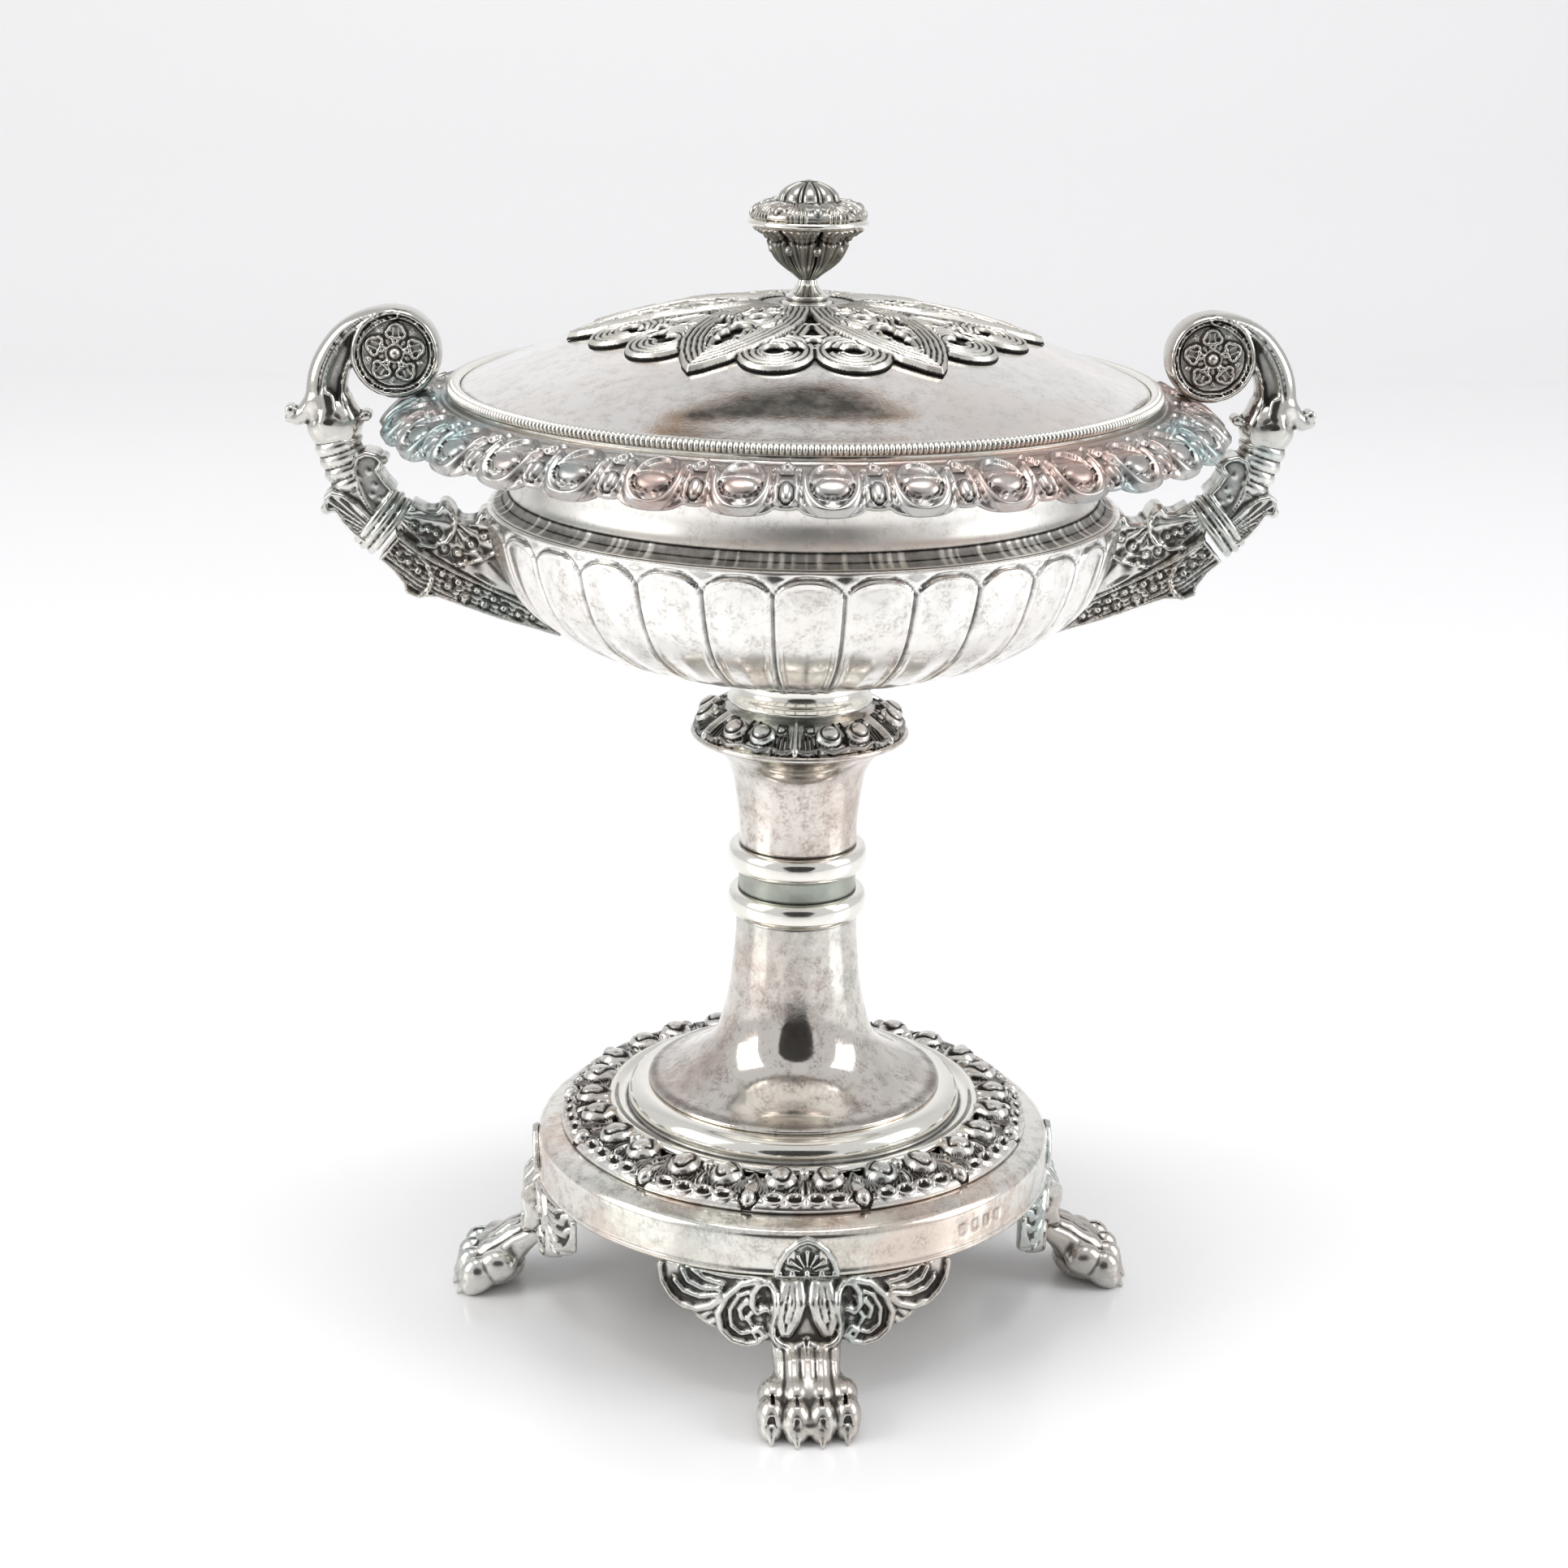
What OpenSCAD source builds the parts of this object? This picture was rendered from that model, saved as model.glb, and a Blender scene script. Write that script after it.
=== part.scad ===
// Footed silver sugar bowl with a lift-off lid, two volute handles and four paw feet.
// Millimetres. Origin on the surface that the paws stand on, on the bowl's axis.
// +Z up, the handles lie along X, the front faces -Y.

/* [Base] */
// Radius of the base drum's wall
base_r = 55.65; // [55:0.05:56]
// Height of the drum's lower edge above the floor
foot_h = 28; // [28:0.5:32]
// Sheet thickness of the base
base_t = 1.4; // [1:0.1:1.6]
// Number of bud groups round the base band
base_units = 13; // [8:1:14]
// Bud radius on the base band
base_bud_r = 2.6; // [1.8:0.1:2.65]

/* [Stem] */
// Outer radius of the two stem rings
stem_ring_r = 14.8; // [14.2:0.1:15.4]
// Radius of the plain band between the rings
stem_band_r = 12.6; // [12.2:0.1:13]
// Number of leaves on the collar under the bowl, with a bud each side
collar_units = 6; // [6:1:10]
// Bud radius on the collar
collar_bud_r = 2.2; // [1.6:0.1:2.3]

/* [Bowl] */
// Number of lobes round the bowl
lobes = 30; // [20:1:32]
// Depth of the grooves between the lobes
lobe_groove = 0.7; // [0.4:0.05:0.8]
// Width of the grooves between the lobes
lobe_gap = 0.9; // [0.5:0.1:1.2]
// Turn of the lobes about the axis
lobe_turn = 9.7; // [0:0.1:12]
// Sheet thickness of the bowl
bowl_t = 1.2; // [1:0.05:1.2]

/* [Rim] */
// Number of eggs round the rim border
eggs = 32; // [24:1:34]
// Radius of each egg
egg_r = 4.4; // [3.5:0.1:4.5]

/* [Lid] */
// Number of leaf groups in the openwork on the lid
leaf_groups = 6; // [4:1:6]
// Thickness of the openwork
tracery_t = 1.5; // [1:0.1:2]
// Radius of the lid's locating flange
bezel_r = 65.6; // [65:0.1:66]
// Depth of the flange below the lid's edge
bezel_drop = 3.5; // [2:0.5:4]

/* [Finial] */
// Radius of the finial's ledge
ledge_r = 11.93; // [11:0.1:12.5]
// Stud radius
stud_r = 1.1; // [0.9:0.05:1.1]
// Nut size across corners
nut_d = 6.8; // [6:0.1:8]

/* [Handles] */
// Distance from the axis to the volute's centre
volute_x = 82.3; // [82.2:0.1:82.8]
// Height of the volute's centre
volute_z = 209.1; // [208.5:0.1:209.6]
// Half thickness of the volute
volute_b = 4.2; // [3.6:0.1:4.6]
// Number of petals in the rosette
petals = 5; // [4:1:8]

/* [Feet] */
// Distance from the axis to the middle of the paw
paw_u = 66.5; // [66:0.1:67]
// Toe radius
toe_r = 3.3; // [3:0.1:3.5]
// Half width of the scrolled wings along the base
wing_half = 29; // [24:0.5:30]
// Radial thickness of the wings
wing_t = 3.6; // [3:0.1:4]

/* [Hidden] */
$fn = 96;

silver = [0.80, 0.79, 0.76];
silver_dark = [0.55, 0.54, 0.52];
silver_light = [0.88, 0.87, 0.84];

// ---------- helpers ----------
// Everything but the feet is drawn with the drum's lower edge at height 32.
module up() translate([0, 0, foot_h - 32]) children();
module rev(p) { rotate_extrude() polygon(p); }

// Closed tube in the XZ plane. Each row is [x, z, in-plane half, sideways half].
function unit2(v) = v / norm(v);
function tan_at(p, i) = let (a = p[max(i - 1, 0)], b = p[min(i + 1, len(p) - 1)])
  unit2([b[0] - a[0], b[1] - a[1]]);
module tube(p, n = 16) {
  m = len(p);
  pts = [for (i = [0:m - 1]) let (t = tan_at(p, i), nx = -t[1], nz = t[0])
    for (k = [0:n - 1]) let (a = 360 * k / n)
      [p[i][0] + p[i][2] * cos(a) * nx, p[i][3] * sin(a), p[i][1] + p[i][2] * cos(a) * nz]];
  sides = [for (i = [0:m - 2]) for (k = [0:n - 1]) let (k2 = (k + 1) % n)
    [i * n + k, i * n + k2, (i + 1) * n + k2, (i + 1) * n + k]];
  tris = [for (f = sides) for (s = [0:1]) s == 0 ? [f[0], f[1], f[2]] : [f[0], f[2], f[3]]];
  capa = [[for (k = [0:n - 1]) n - 1 - k]];
  capb = [[for (k = [0:n - 1]) (m - 1) * n + k]];
  polyhedron(points = pts, faces = concat(tris, capa, capb), convexity = 6);
}

// A flat outline (x across, y up) pushed out along -Y and cut to a curved shell.
module on_drum(r0, r1, z0, z1) {
  intersection() {
    rotate([0, 0, -125]) rotate_extrude(angle = 70) translate([r0, z0]) square([r1 - r0, z1 - z0]);
    translate([0, -30, 0]) rotate([90, 0, 0]) linear_extrude(height = 60) children();
  }
}

// ---------- base ----------
module base_plinth() color(silver) up()
  rev([[base_r, 32], [base_r, 40.6], [55.3, 41.4], [54.4, 42.1], [50.5, 43.3], [40.2, 45.6],
       [40.2, 44.2], [50, 41.9], [53.4, 40.9], [base_r - base_t, 40.0], [base_r - base_t, 33.2],
       [53, 33.2], [53, 32]]);

module base_flower_band() color(silver_dark) up() union() {
  rev([[50.3, 43.345], [49.7, 44.9], [47.6, 46.5], [44.2, 47.6], [41.6, 47.5], [40.5, 46.9], [40.5, 45.533]]);
  for (i = [0:base_units - 1], s = [-1, 1])
    rotate([0, 0, -90 + i * 360 / base_units + s * 6.4]) translate([43.5, 0, 47.42]) sphere(r = base_bud_r, $fn = 32);
  for (i = [0:base_units - 1])
    rotate([0, 0, -90 + (i + 0.5) * 360 / base_units]) translate([48.2, 0, 46.1]) sphere(r = 1.7, $fn = 24);
}

module base_step_moulding() color(silver_light) up()
  rev([[40.2, 44.2], [40.2, 47.6], [40.0, 48.6], [39.2, 48.9], [38.4, 48.3], [37.2, 47.5], [36.2, 47.5],
       [35.4, 48.2], [35.6, 49.4], [35.2, 50.9], [34.0, 51.9], [32.4, 52.2], [29.8, 52.2], [29.8, 51.0],
       [33.2, 50.6], [34.0, 49.4], [34.0, 47.4], [35.6, 46.1], [38.2, 44.2]]);

// ---------- stem ----------
module stem_lower() color(silver) up()
  rev([[31.65, 52.2], [31.65, 53.1], [27, 54.5], [22, 57.5], [17.8, 61.6], [16.4, 63.8], [15.6, 66.9],
       [14.75, 69.9], [14.3, 72.9], [13.84, 75.7], [13.45, 80.4], [13.07, 85.1], [12.96, 90.9],
       [11.5, 90.9], [11.6, 85], [12.4, 75.7], [13.3, 69.9], [14.9, 63.2], [16.5, 60.6], [21.2, 56.3],
       [26.5, 53.2], [30.2, 52.2]]);

module stem_ring(z) translate([0, 0, z])
  rev([[11.2, 0], [13.6, 0], [stem_ring_r - 0.4, 0.9], [stem_ring_r, 2.65], [stem_ring_r - 0.4, 4.4], [13.5, 5.3], [11.2, 5.3]]);

module stem_ring_lower() color(silver_light) up() stem_ring(90.9);
module stem_mid_band() color(silver) up()
  translate([0, 0, 96.2]) difference() {
    cylinder(r = stem_band_r, h = 4.7);
    translate([0, 0, -1]) cylinder(r = 11.2, h = 7);
  }
module stem_ring_upper() color(silver_light) up() stem_ring(100.9);

module stem_upper() color(silver) up()
  rev([[12.5, 106.2], [12.49, 108.9], [12.72, 112.6], [13.13, 116.2], [13.62, 119.8], [14.2, 122.4],
       [15.6, 125.2], [18.2, 127.9], [21.6, 129.8], [22.5, 130.4], [22.6, 131.0], [22.2, 131.4],
       [11.2, 131.4], [11.2, 106.2]]);

module stem_flower_collar() color(silver_dark) up() union() {
  rev([[11.2, 131.4], [21.8, 131.4], [21.4, 132.7], [19.2, 134.7], [16.2, 136.4], [14.2, 137.0], [13.6, 137.5], [11.2, 137.5]]);
  for (i = [0:collar_units - 1], s = [-1, 1])
    rotate([0, 0, -95.8 + (i + s * 0.34) * 360 / collar_units]) translate([18.4, 0, 134.0]) sphere(r = collar_bud_r, $fn = 24);
}

module bowl_foot_ring() color(silver_light) up()
  rev([[11.2, 137.5], [14.9, 137.5], [15.2, 138.1], [14.7, 138.8], [13.6, 139.6], [13.1, 140.8], [13.2, 142.3],
       [13.8, 143.2], [14.3, 143.6], [11.2, 143.6]]);

// ---------- bowl ----------
bowl_out = [[20, 144.9], [27, 146.7], [33, 148.3], [40, 150.4], [46.5, 152.8], [52, 156.0], [56.5, 159.4],
            [60.3, 164.0], [62.8, 169.4], [64.2, 174.5], [64.5, 177.2], [63.9, 179.2]];
bowl_in = [[62.4, 179.2], [63.2, 177.0], [62.9, 174.7], [61.6, 169.9], [59.2, 164.7], [55.6, 160.4], [51.3, 157.1],
           [46.0, 154.0], [39.6, 151.7], [32.6, 149.6], [26.7, 148.0], [19.7, 146.2], [14, 144.9]];
module bowl_shell() rev(concat([[0, 143.6], [14.5, 143.6]], bowl_out, bowl_in, [[0, 144.8]]));
// One groove blade: a band that straddles the shell's outer face.
groove_band = concat([for (p = bowl_out) if (p[0] > 20 && p[0] < 64.4 && p[1] < 176) [p[0] + 1.2, p[1] - 2]],
  [for (i = [len(bowl_out) - 1:-1:0]) if (bowl_out[i][0] > 20 && bowl_out[i][0] < 64.4 && bowl_out[i][1] < 176)
    [bowl_out[i][0] - lobe_groove * 0.8, bowl_out[i][1] + lobe_groove * 0.35]]);
module bowl_body() color(silver) up() difference() {
  bowl_shell();
  for (i = [0:lobes - 1]) rotate([0, 0, lobe_turn + i * 360 / lobes])
    translate([0, lobe_gap / 2, 0]) rotate([90, 0, 0]) linear_extrude(height = lobe_gap) polygon(groove_band);
}

module bowl_neck() color(silver) up()
  rev([[63.9, 179.2], [62.6, 180.6], [60.6, 182.4], [59.0, 184.6], [58.4, 187], [58.9, 189.6], [60.4, 192],
       [63.2, 194.4], [67.2, 196.6], [70.5, 198.0], [70.5, 199.3], [66.7, 197.8], [62.5, 195.5], [59.4, 192.7],
       [57.7, 189.9], [57.2, 187], [57.9, 184.1], [59.7, 181.6], [61.6, 180.0], [62.4, 179.2]]);

module rim_border() color(silver_dark) up() union() {
  rev([[70.5, 198.0], [76.0, 197.4], [80.6, 194.6], [84.0, 191.8], [85.6, 191.6], [86.3, 192.6], [85.8, 194.2],
       [82.6, 197.2], [78.0, 199.6], [73.4, 201.0], [68.2, 201.0], [68.2, 199.8], [70.5, 199.3]]);
  for (i = [0:eggs - 1]) rotate([0, 0, 90 + i * 360 / eggs]) translate([81.2, 0, 194.0]) sphere(r = egg_r, $fn = 32);
}

// ---------- handles (right-hand one is drawn, the left one is its mirror image) ----------
module side(s) { if (s < 0) mirror([1, 0, 0]) children(); else children(); }

arm_path = [[60.5, 167.5, 9.5, 8.5], [64, 167.2, 9.4, 8.5], [68, 167.2, 8.8, 7.8], [72, 168.0, 8.0, 7.0],
            [76, 169.8, 7.0, 6.4], [80, 172.2, 6.2, 5.8], [83.2, 174.3, 5.7, 5.5]];
tail_path = [[81.2, 161.6, 0.8, 1.8], [78.6, 160.4, 1.9, 3.0], [74, 160.0, 2.6, 3.8], [68, 158.8, 2.8, 3.8],
             [62.5, 157.2, 2.5, 3.2], [57, 155.4, 1.9, 2.4], [53.2, 153.6, 1.2, 1.5], [50.2, 152.4, 0.5, 0.7]];
module arm() union() {
  tube(arm_path);
  tube(tail_path, 12);
  for (p = [[66.5, 176.6, 1.9], [74.6, 176.4, 2.0]]) translate([p[0], 0, p[1]]) sphere(r = p[2], $fn = 24);
}
module handle_collar(s) side(s)
  translate([83.2, 0, 174.3]) rotate([0, 90 - 37.7, 0]) cylinder(r = 6.6, h = 2.8);
socket_path = [[85.4, 176.0, 5.4, 5.2], [88.2, 178.6, 5.2, 5.0], [91.0, 181.8, 5.3, 5.1], [93.2, 185.6, 5.6, 5.4],
               [94.3, 189.4, 6.0, 5.8], [94.6, 192.6, 6.6, 6.2], [94.6, 194.8, 7.2, 6.8]];
function vol_r(a) = a < 90 ? 11.1 - 3.0 * a / 90 : (a < 180 ? 8.1 - 1.5 * (a - 90) / 90 : 6.6 - 0.9 * (a - 180) / 90);
function vol_a(a) = a < 90 ? 3.6 - 1.0 * a / 90 : (a < 180 ? 2.6 - 0.8 * (a - 90) / 90 : 1.8 - 0.4 * (a - 180) / 90);
horn_path = concat([[94.6, 194.8, 5.0, 5.0], [94.9, 198.5, 4.6, 4.7], [94.7, 203.0, 4.2, 4.4], [94.1, 206.4, 3.9, 4.3]],
  [for (a = [0:15:285]) [volute_x + vol_r(a) * cos(a), volute_z + vol_r(a) * sin(a), vol_a(a), volute_b]]);
module horn() union() {
  tube(horn_path);
  translate([volute_x, 3.2, volute_z]) rotate([90, 0, 0]) cylinder(r = 6.2, h = 6.4);
}
module rosette() union() {
  translate([volute_x, -3.2, volute_z]) rotate([90, 0, 0]) cylinder(r = 2.2, h = 0.9);
  for (i = [0:petals - 1]) translate([volute_x + 2.9 * cos(90 + i * 360 / petals), -3.2, volute_z + 2.9 * sin(90 + i * 360 / petals)])
    rotate([90, 0, 0]) cylinder(r = 1.6, h = 1.0, $fn = 24);
  translate([volute_x, -4.1, volute_z]) intersection() {
    sphere(r = 1.5, $fn = 32);
    translate([-2, -2, -2]) cube([4, 2, 4]);
  }
}

module handle_left_arm() color(silver_dark) up() side(-1) arm();
module handle_right_arm() color(silver_dark) up() side(1) arm();
module handle_left_collar() color(silver_light) up() handle_collar(-1);
module handle_right_collar() color(silver_light) up() handle_collar(1);
module handle_left_socket() color(silver_dark) up() side(-1) tube(socket_path);
module handle_right_socket() color(silver_dark) up() side(1) tube(socket_path);
module handle_left_horn() color(silver) up() side(-1) horn();
module handle_right_horn() color(silver) up() side(1) horn();
module handle_left_rosette_front() color(silver_light) up() side(-1) rosette();
module handle_right_rosette_front() color(silver_light) up() side(1) rosette();
module handle_left_rosette_back() color(silver_light) up() side(-1) mirror([0, 1, 0]) rosette();
module handle_right_rosette_back() color(silver_light) up() side(1) mirror([0, 1, 0]) rosette();

// ---------- lid ----------
dome_out = [[69.4, 203.6], [66, 205.0], [60.9, 207.2], [54.3, 209.6], [47.8, 211.8], [42, 213.6],
            [34.7, 215.6], [26, 217.3], [16, 218.5], [6, 219.0]];
module lid_dome() color(silver) up() difference() {
  rev(concat(dome_out, [[0, 219.0], [0, 217.9]],
    [for (i = [len(dome_out) - 1:-1:0]) [dome_out[i][0], dome_out[i][1] - 1.1]]));
  translate([0, 0, 210]) cylinder(r = stud_r + 0.1, h = 12, $fn = 48);
}
module lid_bead_edge() color(silver_light) up()
  rev([[69.4, 201.0], [71.3, 201.0], [71.5, 202.3], [72.1, 202.8], [72.2, 203.5], [71.8, 204.2], [71.0, 204.5], [70.1, 204.4], [69.4, 203.8]]);
module lid_bezel() color(silver) up()
  rev([[bezel_r, 201 - bezel_drop], [bezel_r, 203.9 + (66 - bezel_r) * 2.2 / 5.1],
       [bezel_r - 1.1, 203.9 + (67.1 - bezel_r) * 2.2 / 5.1], [bezel_r - 1.1, 201 - bezel_drop]]);

// Openwork: pointed leaves and double-lobed leaves round the finial.
module leaf_shape() difference() {
  polygon([[5, -2.2], [14, -4.6], [24, -8.4], [33, -8.6], [40, -5.6], [44, -2.8], [47.4, 0],
           [44, 2.8], [40, 5.6], [33, 8.6], [24, 8.4], [14, 4.6], [5, 2.2]]);
  translate([18, 0]) circle(r = 1.7, $fn = 24);
  translate([25, 0]) circle(r = 2.2, $fn = 24);
  hull2d();
}
module hull2d() polygon([[29.5, 0], [31, 1.8], [35, 2.3], [39, 1.5], [40.5, 0], [39, -1.5], [35, -2.3], [31, -1.8]]);
module lobe_shape() difference() {
  union() {
    polygon([[5, -2.4], [15, -5.6], [26, -8.8], [34, -9.6], [34, 9.6], [26, 8.8], [15, 5.6], [5, 2.4]]);
    for (s = [-1, 1]) rotate([0, 0, s * 8.4]) translate([36, 0]) circle(r = 6.6, $fn = 48);
  }
  translate([17, 0]) polygon([[0, 0], [3, 1.9], [6, 1.4], [6.4, 0], [6, -1.4], [3, -1.9]]);
  translate([29, 0]) circle(r = 1.9, $fn = 24);
  for (s = [-1, 1]) rotate([0, 0, s * 8.4]) translate([36, 0]) {
    circle(r = 1.9, $fn = 24);
    for (t = [-1, 1]) translate([0, t * 2.1]) circle(r = 1.3, $fn = 24);
  }
}
tr_in = [for (p = dome_out) if (p[0] < 48 && p[0] > 7) p];
module lid_tracery() color(silver_dark) up() intersection() {
  rev(concat([[47.8, 211.8], [47.8, 211.8 + tracery_t]],
    [for (i = [1:len(tr_in) - 1]) [tr_in[i][0], tr_in[i][1] + tracery_t]],
    [[5.3, 219.0 + tracery_t], [5.3, 219.0], [6, 219.0]],
    [for (i = [len(tr_in) - 1:-1:1]) tr_in[i]]));
  translate([0, 0, 205]) linear_extrude(height = 20) difference() {
    union() for (i = [0:leaf_groups - 1]) {
      rotate([0, 0, -92 + (i + 0.5) * 360 / leaf_groups]) leaf_shape();
      rotate([0, 0, -92 + i * 360 / leaf_groups]) lobe_shape();
    }
    circle(r = 5.3);
  }
}

// ---------- finial ----------
module finial_foot() color(silver_light) up()
  rev([[stud_r + 0.05, 219.0], [4.96, 219.0], [4.96, 220.3], [4.1, 220.9], [4.06, 221.5], [3.3, 222.3],
       [2.2, 223.5], [1.87, 224.6], [stud_r + 0.05, 224.6]]);
module finial_cup() color(silver) up()
  rev([[stud_r + 0.05, 224.6], [1.87, 224.6], [2.76, 225.9], [3.89, 227.0], [5.18, 228.3], [7.04, 229.9],
       [8.0, 231.5], [8.8, 233.1], [10.0, 234.2], [10.8, 234.8], [10.8, 235.2], [0, 235.2], [0, 229.2],
       [stud_r + 0.05, 229.2]]);
module finial_ledge() color(silver_light) up()
  rev([[0, 235.2], [ledge_r - 0.4, 235.2], [ledge_r, 235.7], [ledge_r, 236.2], [ledge_r - 0.4, 236.6], [0, 236.6]]);
module finial_knob() color(silver_dark) up()
  rev([[0, 236.6], [11.0, 236.6], [11.5, 237.3], [11.2, 238.3], [9.65, 239.4], [7.5, 239.8], [6.6, 240.05],
       [6.03, 241.3], [4.02, 242.7], [1.77, 243.6], [0, 244]]);
module finial_stud() color(silver) up() translate([0, 0, 213.4]) cylinder(r = stud_r, h = 15.4, $fn = 48);
module finial_washer() color(silver) up() translate([0, 0, 216.9]) difference() {
  cylinder(r = 5, h = 1.0, $fn = 48);
  translate([0, 0, -1]) cylinder(r = stud_r + 0.1, h = 3, $fn = 48);
}
module finial_nut() color(silver) up() translate([0, 0, 214.3]) difference() {
  cylinder(d = nut_d, h = 2.6, $fn = 6);
  translate([0, 0, -1]) cylinder(r = stud_r + 0.05, h = 5, $fn = 48);
}

// ---------- feet (drawn at the front, -Y) ----------
wing_outline = [[0, 28], [0, 10.6], [2.6, 11.2], [4.6, 11.0], [6.4, 11.6], [7.8, 13.6], [10.2, 14.4], [13, 15.2],
                [16.5, 16.6], [20, 17.2], [24, 17.4], [27, 18.6], [wing_half, 21.4], [wing_half, 24.4], [27.4, 26.6], [25.4, 28]];
module foot() union() {
  // paw: four toes, each with two knuckles, on a flat sole
  intersection() {
    union() {
      for (k = [-1.5:1:1.5]) {
        translate([k * 5.0, -(paw_u + 4.8 - abs(k) * 1.1), 2.9]) sphere(r = toe_r, $fn = 24);
        translate([k * 4.7, -(paw_u - 0.8 - abs(k) * 0.8), 5.4]) sphere(r = toe_r + 0.7, $fn = 24);
      }
      linear_extrude(height = 4.2)
        polygon([[-8.4, -58.6], [-9.8, -62.5], [-9.6, -68], [-7.2, -72], [-3, -73.6], [3, -73.6], [7.2, -72],
                 [9.6, -68], [9.8, -62.5], [8.4, -58.6]]);
    }
    translate([-20, -90, 0]) cube([40, 50, 20]);
  }
  // ankle
  rotate([0, 0, -90]) tube([[63.6, 3.0, 5.0, 7.6], [62.0, 6.0, 4.6, 6.8], [59.8, 9.2, 4.0, 5.6], [57.8, 12.4, 3.5, 5.4],
                            [56.2, 16.0, 3.1, 6.2], [55.0, 20.4, 2.6, 6.6], [54.3, 24.4, 2.2, 6.2], [54.0, 27.6, 2.0, 5.6]]);
  // wings along the drum's lower edge
  on_drum(base_r - wing_t, base_r, 8, 28) union() {
    polygon(wing_outline);
    mirror([1, 0]) polygon(wing_outline);
  }
}
module foot_front() color(silver_dark) foot();
module foot_right() color(silver_dark) rotate([0, 0, 90]) foot();
module foot_back() color(silver_dark) rotate([0, 0, 180]) foot();
module foot_left() color(silver_dark) rotate([0, 0, 270]) foot();

module palmette() on_drum(base_r, base_r + 1.3, 30, 44) difference() {
  polygon([[-6.7, 32], [-6.6, 35], [-5.9, 38], [-4.4, 40.2], [-2.4, 41.3], [0, 41.7], [2.4, 41.3],
           [4.4, 40.2], [5.9, 38], [6.6, 35], [6.7, 32]]);
  for (a = [40, 90, 140]) translate([3.9 * cos(a), 33.2 + 4.9 * sin(a)]) circle(r = 0.8, $fn = 24);
}
module palmette_front() color(silver_light) up() palmette();
module palmette_right() color(silver_light) up() rotate([0, 0, 90]) palmette();
module palmette_back() color(silver_light) up() rotate([0, 0, 180]) palmette();
module palmette_left() color(silver_light) up() rotate([0, 0, 270]) palmette();

base_plinth();
base_flower_band();
base_step_moulding();
stem_lower();
stem_ring_lower();
stem_mid_band();
stem_ring_upper();
stem_upper();
stem_flower_collar();
bowl_foot_ring();
bowl_body();
bowl_neck();
rim_border();
handle_left_arm();
handle_left_collar();
handle_left_socket();
handle_left_horn();
handle_left_rosette_front();
handle_left_rosette_back();
handle_right_arm();
handle_right_collar();
handle_right_socket();
handle_right_horn();
handle_right_rosette_front();
handle_right_rosette_back();
lid_dome();
lid_bead_edge();
lid_tracery();
lid_bezel();
finial_foot();
finial_cup();
finial_ledge();
finial_knob();
finial_stud();
finial_washer();
finial_nut();
foot_front();
foot_right();
foot_back();
foot_left();
palmette_front();
palmette_right();
palmette_back();
palmette_left();
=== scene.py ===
import bpy, math
import numpy as np
from mathutils import Matrix, Vector


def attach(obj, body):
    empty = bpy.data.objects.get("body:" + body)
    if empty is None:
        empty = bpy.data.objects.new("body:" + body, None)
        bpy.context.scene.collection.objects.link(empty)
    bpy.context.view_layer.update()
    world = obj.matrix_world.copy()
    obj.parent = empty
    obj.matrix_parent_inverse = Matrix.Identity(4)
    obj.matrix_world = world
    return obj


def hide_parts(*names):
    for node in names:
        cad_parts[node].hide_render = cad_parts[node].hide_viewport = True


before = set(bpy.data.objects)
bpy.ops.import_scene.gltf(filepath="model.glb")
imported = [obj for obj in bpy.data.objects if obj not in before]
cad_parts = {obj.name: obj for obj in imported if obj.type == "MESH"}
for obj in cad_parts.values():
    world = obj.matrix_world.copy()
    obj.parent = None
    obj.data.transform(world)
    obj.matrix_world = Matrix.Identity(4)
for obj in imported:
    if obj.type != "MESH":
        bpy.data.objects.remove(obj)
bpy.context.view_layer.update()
MM = 0.001
DZ = -4.0          # pieces above the feet are drawn with the drum edge at 32 and moved to 28
rng = np.random.default_rng(7)

# ----------------------------------------------------------------------------
# helpers: numpy meshes (millimetres in, metres out)
# ----------------------------------------------------------------------------

def add_mesh(name, verts, faces, cav=None, body="bowl", mat=None, replaces=(), slot=None, dz=DZ):
    """verts (N,3) in mm, faces (M,4) or (M,3) int arrays or a list of such arrays."""
    me = bpy.data.meshes.new(name)
    v = (np.asarray(verts, dtype=np.float64) + [0, 0, dz]) * MM
    flist = faces if isinstance(faces, (list, tuple)) else [faces]
    flist = [np.asarray(f, dtype=np.int32) for f in flist if len(f)]
    loops = np.concatenate([f.ravel() for f in flist])
    sizes = np.concatenate([np.full(len(f), f.shape[1], dtype=np.int32) for f in flist])
    starts = np.concatenate([[0], np.cumsum(sizes)[:-1]]).astype(np.int32)
    me.vertices.add(len(v)); me.vertices.foreach_set("co", v.astype(np.float32).ravel())
    me.loops.add(len(loops)); me.loops.foreach_set("vertex_index", loops)
    me.polygons.add(len(sizes)); me.polygons.foreach_set("loop_start", starts)
    me.polygons.foreach_set("use_smooth", np.ones(len(sizes), dtype=bool))
    me.update(calc_edges=True); me.validate(clean_customdata=False)
    a = me.attributes.new("cav", "FLOAT", "POINT")
    a.data.foreach_set("value", (np.zeros(len(v)) if cav is None else np.clip(cav, 0, 1)).astype(np.float32))
    o = bpy.data.objects.new(name, me)
    bpy.context.scene.collection.objects.link(o)
    if mat is not None:
        me.materials.append(mat)
    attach(o, body)
    if replaces:
        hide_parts(*replaces)
    return o


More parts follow.
